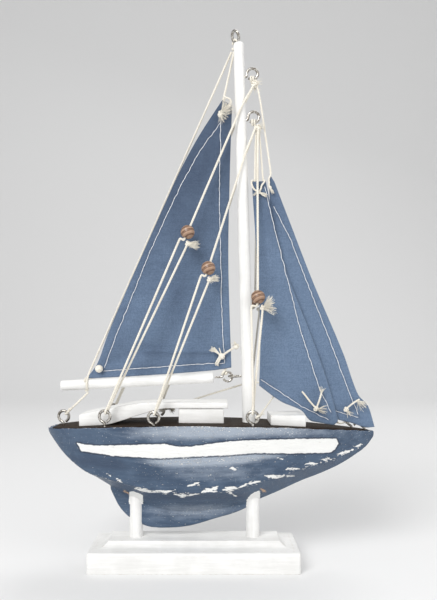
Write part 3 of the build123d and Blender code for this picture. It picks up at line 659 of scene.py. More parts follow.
# Painted shade: a darker blue aft under the band and low on the sides.
painted_shade = between(tree, carried(tree, "rub_and_painted_light"), -0.4, 0.0, 0.7, 0.0)
blue = mixed(tree, brushed, (0.036, 0.066, 0.118, 1), (0.066, 0.107, 0.172, 1))
blue = mixed(tree, painted_shade, blue, (0.03, 0.052, 0.096, 1))
blue = mixed(tree, sums(tree, "MULTIPLY", dry_brush_and_highlight, 0.9), blue, (0.37, 0.42, 0.49, 1))
blue = mixed(tree, sums(tree, "MULTIPLY", band_line, 0.8), blue, (0.016, 0.024, 0.045, 1))
undercoat = mixed(tree, brush["Tone"], (0.74, 0.74, 0.72, 1), (0.9, 0.9, 0.88, 1))
coat = mixed(tree, sums(tree, "MAXIMUM", in_band, chip), blue, undercoat)
bare_wood = between(tree, swayed(tree, torn, 3.0, carried(tree, "bare")), 0.5, 0.9)
coat = mixed(tree, bare_wood, coat, (0.56, 0.36, 0.22, 1))
paint_height = weighted(tree, in_band, 0.5, brush["Height"], 1.5)
paint_height = sums(tree, "SUBTRACT", paint_height, sums(tree, "MULTIPLY", chip, 0.8))
dress(
    tree, shader, coat, between(tree, brush["Tone"], 0.3, 0.7, 0.28, 0.5),
    bump(tree, paint_height, 0.00024, 0.9),
)

finish_piece("hull_carved", hull_mesh, hull_paint, SHIP, ["hull"])

# %% [markdown]
# The deck is a thin board, let into the hull and stained brown. Its imported shape is already
# right, so it only gets its finish, with the grain running fore and aft. Its brown is made almost
# black, darker than the stained wood itself, as painted shade.

# %% The deck's stain and painted shade
deck_stain_and_shade, tree, shader = new_material("deck_stain_and_shade")
place = object_mm(tree)
grain = use_group(tree, wood_grain, Vector=place, Stretch=(0.05, 1.0, 1.0))
# Painted shade: both browns are far darker than the stain alone would be.
stain_and_painted_shade = mixed(tree, grain["Tone"], (0.008, 0.005, 0.003, 1), (0.045, 0.027, 0.016, 1))
dress(
    tree, shader, stain_and_painted_shade, between(tree, grain["Tone"], 0.0, 1.0, 0.6, 0.8),
    bump(tree, grain["Height"], 0.0001, 0.5),
)
shader.inputs["Specular IOR Level"].default_value = 0.15
deck_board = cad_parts["deck_board"]
deck_board.data.materials.clear()
deck_board.data.materials.append(deck_stain_and_shade)
print("Stained the deck")


# %% [markdown]
# Sticks of dowel make the mast, the boom and the two posts. Each is spun from its side line
# like wood on a lathe, with softened ends, and then leaned and moved to its place.


# %% Spinning a stick
def spun(profile, steps=40):
    """A solid of revolution about Z from (radius, height) points."""
    shape = bmesh.new()
    verts = [shape.verts.new((radius, 0, height)) for radius, height in profile]
    edges = [shape.edges.new(pair) for pair in zip(verts, verts[1:])]
    bmesh.ops.spin(
        shape, geom=verts + edges, axis=(0, 0, 1), cent=(0, 0, 0), angle=math.tau, steps=steps,
        use_merge=True,
    )
    bmesh.ops.remove_doubles(shape, verts=shape.verts[:], dist=0.0005)
    bmesh.ops.recalc_face_normals(shape, faces=shape.faces[:])
    return shape


def stood(shape, at, up):
    """Turns a spun shape's axis to a direction and moves it to its place."""
    turn = up.to_track_quat("Z", "Y").to_matrix().to_4x4()
    bmesh.ops.transform(shape, matrix=Matrix.Translation(at) @ turn, verts=shape.verts[:])
    return shape


unevenness = 0.06  # how far a dowel's surface wanders, in millimetres


def stick(start, end, radius, soft_start=0.3, soft_end=0.3, taper=0.0):
    """A dowel between two points, its surface a little uneven. It may thin by a taper."""
    start, end = Vector(start), Vector(end)
    length = (end - start).length
    profile = [(0.0, 0.0), (radius - soft_start, 0.0)]
    for turn in (30, 60, 90):
        a = math.radians(turn)
        profile.append((radius - soft_start * (1 - math.sin(a)), soft_start * (1 - math.cos(a))))
    cells = max(4, int(length / 2.5))
    low, high = soft_start, length - soft_end
    profile += [(radius, low + (high - low) * i / cells) for i in range(1, cells + 1)]
    for turn in (30, 60, 90):
        a = math.radians(turn)
        profile.append((radius - soft_end * (1 - math.cos(a)), high + soft_end * math.sin(a)))
    profile.append((0.0, length))
    shape = spun(profile)
    for vert in shape.verts:
        thinner = 1 - taper * vert.co.z / length / radius
        vert.co.x, vert.co.y = vert.co.x * thinner, vert.co.y * thinner
        off = Vector((vert.co.x, vert.co.y, 0))
        wave = noise.noise(Vector((vert.co.x, vert.co.y, vert.co.z * 0.12)) + start) - 0.35
        if off.length > 0.01:
            vert.co += off.normalized() * wave * unevenness
    return stood(shape, start, end - start)


mast_foot, mast_top = Vector((23.5, 0, 60.48)), Vector((19.0, 0, 223.7))
mast_up = (mast_top - mast_foot).normalized()
boom_aft, boom_fore = Vector((-57.4, 0, 76.12)), Vector((8.2, 0, 79.67))
boom_ahead = (boom_fore - boom_aft).normalized()
mast_radius, boom_radius, post_radius = 2.8, 2.25, 2.9
mast_stick = stick(mast_foot - mast_up * 4, mast_top, mast_radius, soft_end=0.9, taper=0.55)
finish_piece("mast_turned", mast_stick, white_upright, SHIP, ["mast"])
boom_stick = stick(boom_aft, boom_fore, boom_radius, soft_start=0.6, soft_end=0.6)
finish_piece("boom_turned", boom_stick, white_along, BOOM, ["boom"])
for side, x in (("aft", -25.1), ("fore", 25.1)):
    post = stick((x, 0, 6.0), (x, 0, bottom_z(x) + 5), post_radius)
    node = f"stand_post_{side}"
    finish_piece(f"post_{side}_turned", post, white_upright, SHIP, [node])


# %% [markdown]
# The plinth is a short board with a cove run round its top. A box is given rounded corners, and
# its top face is then inset and lifted again and again along the moulding's line, so that the
# mitres at the corners come by themselves.

# %% The plinth
base_length, base_width, edge_height = 88.0, 30.0, 8.7
ledge, cove_width, cove_rise, core_foot = 2.5, 5.5, 2.8, 1.2
cove_radius = (cove_width**2 + cove_rise**2) / (2 * cove_rise)
plinth = bmesh.new()
box(plinth, (base_length, base_width, edge_height), (0, 0, edge_height / 2))
upright = [e for e in plinth.edges if abs(e.verts[0].co.z - e.verts[1].co.z) > 1]
round_off(plinth, upright, 1.3, 4, clamp=False)
for height, offset, segments in ((edge_height, 1.0, 5), (0.0, 0.25, 2)):
    arris = [e for e in plinth.edges if all(abs(v.co.z - height) < 0.001 for v in e.verts)]
    round_off(plinth, arris, offset, segments, clamp=False)
core_height = edge_height - core_foot
raised = box(
    plinth, (base_length - 2 * ledge, base_width - 2 * ledge, core_height),
    (0, 0, core_height / 2 + core_foot),
)
cove_line = []
for i in range(1, 11):
    across = cove_width * i / 10
    cove_line.append((across, edge_height + cove_radius - math.sqrt(cove_radius**2 - across**2)))
raised_faces = [face for corner in raised for face in corner.link_faces]
top_face = max(raised_faces, key=lambda face: face.calc_center_median().z)
inset_now, height_now = 0.0, edge_height
for inset, height in cove_line:
    bmesh.ops.inset_region(
        plinth, faces=[top_face], thickness=inset - inset_now, depth=0.0, use_even_offset=True
    )
    bmesh.ops.translate(plinth, vec=(0, 0, height - height_now), verts=top_face.verts[:])
    inset_now, height_now = inset, height
base = finish_piece("plinth_coved", plinth, white_along, SHIP, ["base_plinth"])
sharpen(base, 35)


# %% [markdown]
# Three blocks of wood are glued on the deck. A block with rounded arrises looks cut and
# sanded; a plain box never does. The roof is one thin board, bent down to the deck aft.

# %% The deck's blocks
glue = 0.05  # room between the deck and what is glued on it


def softened(shape):
    """Rounds the arrises, and gives shallow bends a wider sweep."""
    shape.normal_update()
    bends = edges_bent(shape, 0.05, 0.7)
    if bends:
        round_off(shape, bends, 2.4, 4)
        shape.normal_update()
    round_off(shape, edges_bent(shape, 0.9), 0.35, 3)
    return shape


def deck_block(name, x0, x1, width, top, node):
    """A block from the deck's arch up to its own flat top."""
    shape = bmesh.new()
    for corner in box(shape, (x1 - x0, width, 1.0), ((x0 + x1) / 2, 0, 0)):
        corner.co.z = top if corner.co.z > 0 else deck_z(corner.co.x) + glue
    return finish_piece(name, softened(shape), white_along, SHIP, [node])


cabin = deck_block("cabin_sanded", -6.4, 12.5, 16.0, 67.15, "cabin_block")
hatch = deck_block("hatch_sanded", 32.1, 46.7, 18.0, deck_z(39.4) + 4.5, "fore_hatch")
roof_line = (
    (14.2, 69.7), (-20.0, 69.7), (-28.0, 68.6), (-48.0, deck_z(-48.0) + 4.9),
    (-48.0, deck_z(-48.0) + glue), (-36.5, deck_z(-36.5) + glue), (-32.5, deck_z(-32.5) + 1.0),
    (-17.0, 66.3), (-13.0, 67.2), (14.2, 67.2),
)
roof_shape = softened(board(roof_line, 17.5))
roof = finish_piece("roof_bent", roof_shape, white_along, SHIP, ["cabin_roof"])
for block in (cabin, hatch, roof):
    sharpen(block, 25)

# %% [markdown]
# Screw eyes are one piece of plated wire: a threaded shank that turns sideways and curls round
# almost to itself. A smooth curve through a few points, thickened, gives just that.

# %% Plated steel
plated_steel, tree, shader = new_material("plated_steel")
place = object_mm(tree)
# Painted reflection: in patches the wire's colour is made dark, as if it mirrored dark
# surroundings.
painted_reflection_patches = noisy(tree, place, 1.4, 5.0, 0.65)
steel = mixed(tree, between(tree, painted_reflection_patches, 0.4, 0.62), (0.64, 0.62, 0.58, 1), (0.22, 0.195, 0.165, 1))
dress(
    tree, shader, steel, between(tree, painted_reflection_patches, 0.35, 0.7, 0.22, 0.5), bump(tree, painted_reflection_patches, 0.00006, 0.5)
)
shader.inputs["Metallic"].default_value = 1.0


# %% Curves as meshes
def add_spline(curve, kind, line):
    """Adds a spline with these places as its points."""
    spline = curve.splines.new(kind)
    spline.points.add(len(line) - 1)
    for point, place in zip(spline.points, line):
        point.co = (*place, 1.0)
    return spline


def meshed(curve):
    """The mesh that a curve gives. The curve goes."""
    holder = bpy.data.objects.new(curve.name, curve)
    mesh = bpy.data.meshes.new_from_object(holder)
    bpy.data.objects.remove(holder)
    bpy.data.curves.remove(curve)
    return mesh


def smooth_line(points, closed=False):
    """Points along the NURBS curve that a route's control points give."""
    curve = bpy.data.curves.new("route", "CURVE")
    curve.dimensions = "3D"
    curve.resolution_u = 14
    spline = add_spline(curve, "NURBS", points)
    spline.order_u = 3
    spline.use_endpoint_u = not closed
    spline.use_cyclic_u = closed
    mesh = meshed(curve)
    line = [v.co.copy() for v in mesh.vertices]
    bpy.data.meshes.remove(mesh)
    return line + line[:1] if closed else line


def evenly(line, step):
    """The same line with points at even distances."""
    gaps = [(b - a).length for a, b in zip(line, line[1:])]
    total = sum(gaps)
    count = max(2, round(total / step))
    result, i, passed = [], 0, 0.0
    for n in range(count + 1):
        at = total * n / count
        while i < len(gaps) - 1 and passed + gaps[i] < at:
            passed += gaps[i]
            i += 1
        share = (at - passed) / gaps[i] if gaps[i] else 0.0
        result.append(line[i].lerp(line[i + 1], min(share, 1.0)))
    return result, total


def thickened(lines, radius, sides=1):
    """A mesh of round bars along lines, each with its points' shares of the radius or None."""
    curve = bpy.data.curves.new("bars", "CURVE")
    curve.dimensions = "3D"
    curve.bevel_depth = radius
    curve.bevel_resolution = sides
    curve.use_fill_caps = True
    for line, shares in lines:
        spline = add_spline(curve, "POLY", line)
        for point, share in zip(spline.points, shares or []):
            point.radius = share
    return meshed(curve)


# %% The screw eyes
thread_pitch, thread_depth = 0.8, 0.11


def eye_mesh(centre, shank, normal, ring, wire, depth):
    """A screw eye in millimetres: its ring's centre, the way its shank points, its ring's
    normal, the ring's and the wire's radius, and how far its point is from the centre."""
    centre, shank, normal = Vector(centre), Vector(shank).normalized(), Vector(normal).normalized()
    across = normal.cross(shank).normalized()
    shank = across.cross(normal).normalized()
    route = [centre + shank * depth, centre + shank * (ring + 2.0), centre + shank * (ring + 0.75)]
    route.append(centre + shank * (ring * 1.06) + across * 0.25)
    for turn in range(36, 338, 20):
        a = math.radians(turn)
        route.append(centre + (shank * math.cos(a) + across * math.sin(a)) * ring * 1.02)
    line, _ = evenly(smooth_line(route), 0.22)
    shares = []
    for i, place in enumerate(line):
        down = (place - centre).dot(shank) - ring - 0.9
        thread = thread_depth * math.sin(math.tau * down / thread_pitch) if down > 0 else 0.0
        shares.append((0.84 if down > 0 else 1.0) + thread)
    return thickened([(line, shares)], wire, sides=3)


down_deck, out_of_mast = (0, 0, -1), (-0.921, 0, -0.391)
eye_places = {
    "mast_top_eye": ((17.66, 0, 226.44), (0.438, 0, -0.899), (0.808, 0.438, 0.394), 0),
    "mast_eye_upper": ((24.93, 0, 210.37), out_of_mast, (0, 1, 0), 0),
    "mast_eye_lower": ((25.5, 0, 191.77), out_of_mast, (0, 1, 0), 0),
    "mast_gooseneck_eye": ((16.9, 0, 80.2), (1, 0, 0), (0, 0, 1), 1),
    "boom_eye": ((14.25, 0, 80.0), (-0.999, 0, -0.054), (0, 1, 0), 1),
    "stern_eye": ((-56.3, 0, 62.99), down_deck, (0.208, 0.978, 0), 0),
    "bow_eye": ((68.0, 1.3, 60.86), down_deck, (0.105, 0.995, 0), 1),
    "bow_tip_eye": ((73.4, 0.3, 60.28), down_deck, (-0.139, 0.99, 0), 1),
    "deck_eye_aft_starboard": ((-36.6, -12.97, 64.42), down_deck, (0.242, 0.97, 0), 0),
    "deck_eye_aft_port": ((-36.6, 12.97, 64.42), down_deck, (-0.242, 0.97, 0), 0),
    "deck_eye_mid_starboard": ((-16.4, -14.17, 63.89), down_deck, (0.208, 0.978, 0), 0),
    "deck_eye_mid_port": ((-16.4, 14.17, 63.89), down_deck, (-0.208, 0.978, 0), 0),
    "deck_eye_fore_starboard": ((24.2, -14.18, 64.15), down_deck, (0.208, 0.978, 0), 0),
    "deck_eye_fore_port": ((24.2, 14.18, 64.15), down_deck, (-0.208, 0.978, 0), 0),
}
for node, (centre, shank, normal, small) in eye_places.items():
    ring, wire = ((2.35, 0.6), (2.0, 0.5))[small]
    mesh = eye_mesh(centre, shank, normal, ring, wire, ring + (4.5, 3.5)[small])
    body = BOOM if node == "boom_eye" else SHIP
    finish_piece(f"{node}_wire", mesh, plated_steel, body, [node])

# %% [markdown]
# Cotton string is three plies twisted together. The plies are real here: each route becomes a
# smooth line, and three thin bars wind round it. Knots are the same twine on a knotted route,
# and cut ends open into a brush of fine fibres.

# %% Cotton
cotton, tree, shader = new_material("cotton_string")
place = object_mm(tree)
lint, dirt = noisy(tree, place, 4.0, 4.0, 0.7), noisy(tree, place, 0.12, 3.0, 0.6)
clean = mixed(tree, between(tree, lint, 0.3, 0.7), (0.7, 0.65, 0.55, 1), (0.9, 0.87, 0.79, 1))
grubby = mixed(tree, between(tree, dirt, 0.5, 0.75, 0.0, 0.25), clean, (0.5, 0.43, 0.33, 1))
dress(tree, shader, grubby, 0.9, bump(tree, lint, 0.0001, 0.6))
shader.inputs["Sheen Weight"].default_value = 0.25


# %% Twine
string_radius, thin_radius, fibre_radius = 0.5, 0.42, 0.085
ply_share = 0.53  # a ply's radius, as a share of the string's
twist = 3.1  # a ply goes round once in this many millimetres
pulled = 0.92  # a tied string is this much thinner


class Twine:
    """The string work of one CAD node: strands of three plies, knots and frayed ends."""

    def __init__(self, seed, radius=string_radius):
        self.radius = radius
        self.plies, self.fibres, self.cores, self.lengths = {}, [], [], []
        self.random = random.Random(seed)

    def strand(self, route, radius=None, closed=False):
        """A run of string along control points."""
        radius = radius or self.radius
        line, total = evenly(smooth_line([Vector(p) for p in route], closed), 0.36)
        self.lengths.append(round(total))
        forward = [(b - a).normalized() for a, b in zip(line, line[1:])]
        forward.append(forward[-1])
        side = forward[0].orthogonal().normalized()
        phase = self.random.uniform(0, math.tau)
        plies = [[], [], []]
        for i, (place, ahead) in enumerate(zip(line, forward)):
            side = (side - ahead * side.dot(ahead)).normalized()
            other = ahead.cross(side)
            for n, ply in enumerate(plies):
                a = phase + math.tau * (n / 3 + i * total / (len(line) - 1) / twist)
                ply.append(place + (side * math.cos(a) + other * math.sin(a)) * radius * 0.5)
        bars = self.plies.setdefault(round(radius * ply_share, 3), [])
        bars.extend((ply, None) for ply in plies)

    def knot(self, centre, size, facing, radius=None, lobes=(2, 3)):
        """A closed tangle on a ring's surface, as big across as two sizes."""
        radius = radius or self.radius
        centre, facing = Vector(centre), Vector(facing).normalized()
        side = facing.orthogonal().normalized()
        other = facing.cross(side)
        turns, waves = lobes
        reach = (size - radius) / 2
        route = []
        count = 9 * max(lobes)
        for i in range(count):
            t = math.tau * i / count
            out = reach * (1.12 + 0.88 * math.cos(waves * t))
            place = (side * math.cos(turns * t) + other * math.sin(turns * t)) * out
            route.append(centre + place + facing * reach * 0.95 * math.sin(waves * t))
        self.strand(route, radius * pulled, closed=True)

    def fray(self, start, towards, spread=0.35, count=26, thick=fibre_radius):
        """A brush of loose fibres from a point towards another."""
        start, towards = Vector(start), Vector(towards)
        run = towards - start
        draw = self.random
        for _ in range(count):
            reach = run * draw.uniform(0.55, 1.05)
            off = Vector([draw.uniform(-1, 1) for _ in range(3)])
            off -= run * off.dot(run) / run.length_squared
            curl = Vector([draw.uniform(-1, 1) for _ in range(3)]) * run.length * 0.12
            begin = start + off * 0.3
            middle = start + reach * 0.5 + off * run.length * spread * 0.45 + curl
            end = start + reach + off * run.length * spread
            route = [begin, begin + reach * 0.2, middle, end]
            line, _ = evenly(smooth_line(route), run.length / 6)
            shares = [1.0 - 0.4 * i / len(line) for i in range(len(line))]
            self.fibres.append((line, [s * thick / fibre_radius for s in shares]))

    def ball(self, centre, radius):
        """The tight middle of a knot, where no gap between its turns shows."""
        self.cores.append((Vector(centre), radius))

    def piece(self, node, body):
        """Makes the object that stands for the node."""
        print(node, "string lengths in millimetres:", self.lengths)
        shape = bmesh.new()
        for centre, radius in self.cores:
            bmesh.ops.create_icosphere(
                shape, subdivisions=4, radius=radius, matrix=Matrix.Translation(centre)
            )
        for vert in shape.verts:
            vert.co += vert.normal * 0.1 * noise.noise(vert.co * 2.2)
        for radius, plies in self.plies.items():
            shape.from_mesh(thickened(plies, radius))
        if self.fibres:
            shape.from_mesh(thickened(self.fibres, fibre_radius, sides=0))
        return finish_piece(f"{node}_string", shape, cotton, body, [node])


# %% [markdown]
# Each shroud is one string. It leaves the knot at the mast, passes beside the mast, runs down
# through its bead, splits off to the aft side, goes down round the screw eye's wire and comes
# back up to a knot beside the bead, where its end is frayed.


# %% The shrouds
def nearer(a, b, distance):
    """A control point on the run from a to b, close to a, that keeps the run straight."""
    return a + (b - a).normalized() * distance


def across_ship(point, side):
    """Starboard places are given; port ones mirror them."""
    return Vector((point[0], point[1] * (1 if side == "starboard" else -1), point[2]))


shroud_places = {
    # start, bend beside the mast, bead, knot, corner, crossing, eye wire, apart, fray end
    "aft": (
        (25.03, -0.6, 204.27), (20.41, -3.14, 196.2), (-2.7, -6.9, 141.1), (-2.59, -7.17, 136.31),
        (-5.84, -7.12, 138.65), (-4.22, -7.15, 137.48), (-35.74, -13.19, 66.59),
        (0.19, 1.08, -0.18), (2.0, -8.6, 135.2),
    ),
    "mid": (
        (25.75, -0.75, 185.67), (21.97, -3.21, 176.0), (6.0, -7.8, 125.9), (6.53, -8.18, 121.15),
        (3.09, -8.1, 123.19), (4.81, -8.14, 122.17), (-15.68, -14.32, 66.12),
        (0.17, 1.08, -0.18), (10.2, -9.6, 121.6),
    ),
    "fore": (
        (27.0, -0.95, 185.67), None, (26.8, -8.5, 113.7), (28.74, -8.96, 109.34),
        (23.9, -8.86, 110.24), (26.4, -8.91, 109.79), (24.26, -14.19, 66.5),
        (0.23, 1.08, -0.14), (33.4, -10.2, 110.8),
    ),
}
fray_spreads, fray_counts = (0.34, 0.36, 0.8), (70, 60, 110)
for n, (name, places) in enumerate(shroud_places.items()):
    for side in ("starboard", "port"):
        start, bend, bead, knot, corner, crossing, wire, apart, fray_end = [
            p and across_ship(p, side) for p in places
        ]
        down = (wire - bead).normalized()
        aft_foot, fore_foot = wire - apart, wire + apart
        string = Twine(100 + 10 * n + (side == "port"))
        upper = [start]
        if bend:
            upper += [nearer(bend, start, 3.0), nearer(bend, bead, 3.0)]
        loop = [
            bead, crossing, nearer(crossing, corner, 1.2), corner, nearer(corner, aft_foot, 3.0),
            aft_foot - down * 5.0, aft_foot, aft_foot + down * 1.1, fore_foot + down * 1.1,
            fore_foot, fore_foot - down * 5.0, nearer(knot, fore_foot, 3.0), knot,
        ]
        above = start + Vector((0.6, 0.0, 1.6))
        string.strand([above] + upper + loop)
        string.knot(knot, 1.5, (0.3, -1 if side == "starboard" else 1, 0.2))
        string.fray(knot, fray_end, fray_spreads[n], fray_counts[n], thick=0.1)
        low_end = knot + (fray_end - knot) * 0.4 + Vector((0, 0, -1.6))
        string.fray(knot, low_end, spread=0.5, count=10)
        string.piece(f"shroud_{name}_{side}", SHIP)

# %% [markdown]
# The other strings follow the same pattern: a short list of places for the run, a knot where
# it is tied, and a fray where it is cut.

# %% Strings at the mast's top
top_knot = Vector((17.2, 3.9, 222.8))
string = Twine(1)
string.strand([
    (16.6, 2.7, 224.2), (16.75, 2.75, 225.3), (17.2, 1.3, 226.0), (18.3, 0.75, 225.2),
    (18.2, 1.5, 224.1), (17.4, 2.6, 224.0), tuple(top_knot),
])
string.knot(top_knot, 1.25, (0.2, 1, 0.2))
string.fray(top_knot, (18.8, 5.4, 224.6), count=14)
string.piece("masthead_knot_top", SHIP)

string = Twine(2)
string.strand([
    (17.2, 3.9, 221.5), (12.9, 0.78, 201.4), (12.3, 0.35, 198.6), (11.5, 0.3, 194.0),
    (11.3, -0.6, 193.2), (11.2, -1.8, 193.0),
])
string.strand([
    (12.8, 0.5, 200.6), (14.9, -0.4, 200.0), (16.1, -1.6, 197.6), (14.2, -2.1, 195.0),
    (11.6, -2.2, 193.2),
], thin_radius)
string.knot((11.2, -1.9, 192.6), 1.55, (0.1, -1, 0.1))
string.knot((11.0, -2.2, 191.6), 1.0, (0.3, -1, 0.1), radius=thin_radius)
string.fray((11.4, -2.4, 193.2), (16.0, -2.9, 196.9), spread=0.55, count=60, thick=0.1)
string.fray((11.3, -2.4, 192.6), (15.2, -2.9, 192.4), spread=0.45, count=22)
string.fray((11.0, -2.4, 192.0), (12.4, -2.7, 188.4), spread=0.45, count=26)
string.piece("main_halyard", BOOM)


def round_spar(centre, axis, radius, start_turn, turn, lift=0.0, steps=8):
    """Control points round a spar: outside its radius, as a smooth line cuts corners."""
    centre, axis = Vector(centre), Vector(axis).normalized()
    up = (Vector((0, 0, 1)) - axis * axis.z).normalized()
    side = axis.cross(up)
    places = []
    for i in range(steps + 1):
        a = math.radians(start_turn + turn * i / steps)
        out = (up * math.cos(a) + side * math.sin(a)) * radius * 1.05
        places.append(centre + out + axis * lift * i / steps)
    return places


wrap_at = boom_aft + boom_ahead * ((-46.0 - boom_aft.x) / boom_ahead.x)
string = Twine(3)
string.strand([
    (16.1, 3.9, 221.5), (-43.4, 0.6, 86.4), (-45.2, -0.6, 81.6),
    *round_spar(wrap_at + boom_ahead * 0.2, boom_ahead, 2.76, 20, 400, lift=-0.9),
])
string.piece("backstay_upper", BOOM)

string = Twine(4)
string.strand([
    (-45.8, 0.0, 73.2), (-52.2, -0.25, 67.03), (-53.6, -0.1, 65.8), (-54.2, 0.5, 65.2),
    (-55.2, 0.45, 64.3), (-55.5, -0.75, 63.9), (-54.5, -1.25, 64.4), (-53.8, -0.85, 65.5),
    (-53.1, -0.2, 66.3),
])
string.knot((-53.6, -0.4, 65.9), 0.95, (0.3, -1, 0.2))
lower_stay = string.piece("backstay_lower", None)
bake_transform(lower_stay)

# %% Lashings of the mainsail's corners
clew = Vector((-40.8, -1.9, 83.5))
string = Twine(5)
string.strand([
    tuple(clew), (-40.9, 0.0, 83.2), (-41.6, 1.5, 82.4), (-44.3, 2.4, 80.0), (-45.9, 3.0, 77.6),
    (-46.4, 2.6, 75.4), (-46.6, 1.0, 74.1), (-46.7, -0.6, 74.0),
])
string.knot(clew, 1.8, (0.1, -1, 0.2), lobes=(3, 4))
string.knot(clew, 1.6, (0.5, -0.2, 1), lobes=(2, 3))
string.ball(clew, 1.66)
string.piece("clew_lashing", BOOM)

tack = Vector((11.7, -2.0, 88.8))
string = Twine(6)
string.strand([
    (11.9, -2.3, 89.1), (10.6, -2.5, 87.0), (9.7, -2.0, 85.5), (9.9, -0.5, 85.0), (12.0, 0.7, 84.0),
    (13.9, 0.4, 83.3), (12.9, -0.9, 82.5), (11.7, -1.2, 81.2), (12.0, 0.5, 80.9), (13.4, 1.1, 81.7),
    (14.0, -0.2, 82.0), (13.5, -0.9, 81.2),
])
string.strand([(11.2, -2.2, 89.2), (10.0, -2.7, 87.3), (9.2, -2.2, 85.9), (9.3, -0.9, 85.2)])
string.knot(tack, 1.6, (0.1, -1, 0.3))
string.ball(tack, 1.35)
string.knot((13.6, -0.3, 81.4), 1.0, (0.1, -1, 0.3), radius=thin_radius)
string.strand([tuple(tack), (14.0, -2.5, 90.9), (16.9, -2.4, 92.4)])
string.knot((17.9, -2.3, 92.8), 1.2, (0.4, -1, 0.3))
string.ball((17.9, -2.3, 92.8), 1.1)
string.fray((17.4, -2.3, 92.8), (18.6, -2.3, 94.4), spread=0.8, count=50, thick=0.1)
string.fray((17.2, -2.3, 92.6), (16.4, -2.4, 95.2), spread=0.4, count=10)
for lean in (-0.5, -0.1, 0.35, 0.8):
    string.strand([
        tuple(tack), (10.0, -2.8, 90.3 + lean * 0.5), (7.6 + abs(lean), -3.0, 91.9 + lean),
    ], 0.24)
string.fray((9.4, -2.8, 90.6), (6.9, -3.0, 92.4), spread=0.4, count=40, thick=0.1)
string.strand([tuple(tack), (11.2, -2.8, 90.8), (10.6, -2.7, 92.4)], 0.24)
string.piece("tack_lashing", BOOM)

# %% The jibs' strings
string = Twine(7, thin_radius)
string.strand([
    (27.0, 0.0, 187.0), (26.38, 0.0, 185.67), (25.95, -0.72, 164.8), (25.9, -0.75, 162.4),
    (29.6, -0.75, 162.6), (29.45, -0.7, 165.0), (27.98, 0.0, 185.67), (27.5, 0.0, 187.0),
])
string.strand([
    (25.9, -0.9, 163.4), (25.0, -1.3, 164.7), (24.2, -2.1, 162.9), (25.6, -2.3, 159.8),
    (27.3, -2.3, 159.0),
])
string.strand([
    (29.6, -0.9, 163.4), (29.9, -1.4, 164.8), (30.1, -2.1, 163.4), (28.7, -2.3, 162.0),
    (28.5, -2.3, 160.2), (27.6, -2.3, 159.2),
])
string.knot((27.4, -2.35, 158.9), 1.15, (0.1, -1, 0.1))
string.fray((27.9, -2.5, 158.7), (31.0, -2.8, 157.3), spread=0.22, count=60, thick=0.1)
string.fray((26.9, -2.5, 158.8), (25.0, -2.6, 157.2), spread=0.4, count=10)
string.piece("jib_inner_halyard", SHIP)
string = Twine(8, thin_radius)
string.strand([
    (26.6, 0.0, 205.6), (27.56, 0.0, 204.27), (30.3, 0.45, 186.2), (32.9, 0.9, 168.9),
    (33.0, 0.8, 167.2), (31.9, 0.2, 165.2), (32.3, 0.1, 163.4), (31.9, 0.0, 162.4),
    (33.2, -0.1, 160.2),
])
string.knot((32.5, 0.0, 161.6), 1.0, (0.1, -1, 0.1))
string.fray((32.6, -0.1, 161.2), (33.9, -0.2, 158.9), spread=0.25, count=40, thick=0.1)
string.piece("jib_outer_halyard", SHIP)

string = Twine(9, thin_radius)
string.strand([
    (46.0, -1.2, 73.9), (46.9, -2.9, 72.8), (50.0, -3.2, 68.6), (51.8, -3.2, 66.8),
])
string.strand([
    (51.6, -3.1, 66.4), (53.0, -1.2, 65.9), (53.4, -0.75, 65.6), (61.4, -0.6, 59.9),
    (64.4, 0.75, 60.0), (65.5, 1.0, 60.9), (66.6, 1.9, 60.9), (66.5, 2.1, 59.9), (65.6, 1.5, 59.8),
])
string.knot((51.9, -3.1, 66.5), 1.4, (0.1, -1, 0.1))
string.strand([(52.0, -3.2, 66.8), (53.4, -3.7, 70.4), (54.2, -3.3, 73.6)])
string.fray((54.1, -3.4, 73.2), (54.6, -3.3, 76.0), spread=0.5, count=18)
string.fray((52.2, -3.3, 66.4), (56.4, -4.0, 66.2), spread=0.5, count=28)
string.piece("jib_inner_tack_tie", SHIP)

string = Twine(10, thin_radius)
string.strand([
    (64.6, -2.5, 66.1), (66.0, -1.0, 65.8), (66.2, 0.6, 65.6), (70.4, 0.3, 62.6),
    (71.4, 0.15, 61.9), (72.2, 0.6, 61.1), (72.4, -0.3, 60.9), (71.4, -0.4, 61.6),
])
string.knot((64.8, -2.6, 66.2), 1.35, (0.1, -1, 0.1))
string.strand([(64.8, -2.7, 66.4), (67.6, -3.3, 69.2), (70.4, -3.0, 70.5)])
string.fray((69.4, -3.1, 70.0), (73.4, -3.2, 67.2), spread=0.5, count=34)
string.fray((64.9, -2.8, 65.8), (67.2, -3.0, 63.2), spread=0.4, count=14)
string.piece("jib_outer_tack_tie", SHIP)

string = Twine(11, thin_radius)
string.strand([
    (33.9, 0.2, 71.2), (28.2, -11.4, 65.8), (27.2, -13.4, 64.9), (26.9, -14.6, 64.9),
    (26.6, -15.6, 64.9), (25.6, -15.9, 64.5), (25.4, -15.0, 63.8), (26.2, -14.3, 63.9),
    (27.1, -14.4, 64.6),
])
string.fray((27.1, -14.5, 64.6), (28.6, -16.4, 66.8), count=12)
string.piece("jib_outer_sheet", SHIP)
string = Twine(12, thin_radius)
string.strand([
    (28.0, -0.6, 77.6), (25.9, 1.2, 77.4), (23.5, 3.6, 77.2), (20.2, 4.5, 76.2),
    (-11.4, 13.8, 65.6), (-13.2, 14.35, 65.1), (-14.0, 14.9, 65.4), (-15.0, 14.9, 64.8),
    (-14.6, 14.3, 64.1), (-13.4, 14.2, 64.7),
])
string.knot((-12.6, 13.9, 65.3), 1.5, (0.1, -1, 0.2))
string.strand([(-12.6, 13.9, 65.3), (-12.9, 13.5, 66.9), (-12.6, 13.6, 68.4)])
string.fray((-13.2, 13.6, 65.2), (-16.4, 13.2, 63.3), spread=0.35, count=30, thick=0.1)
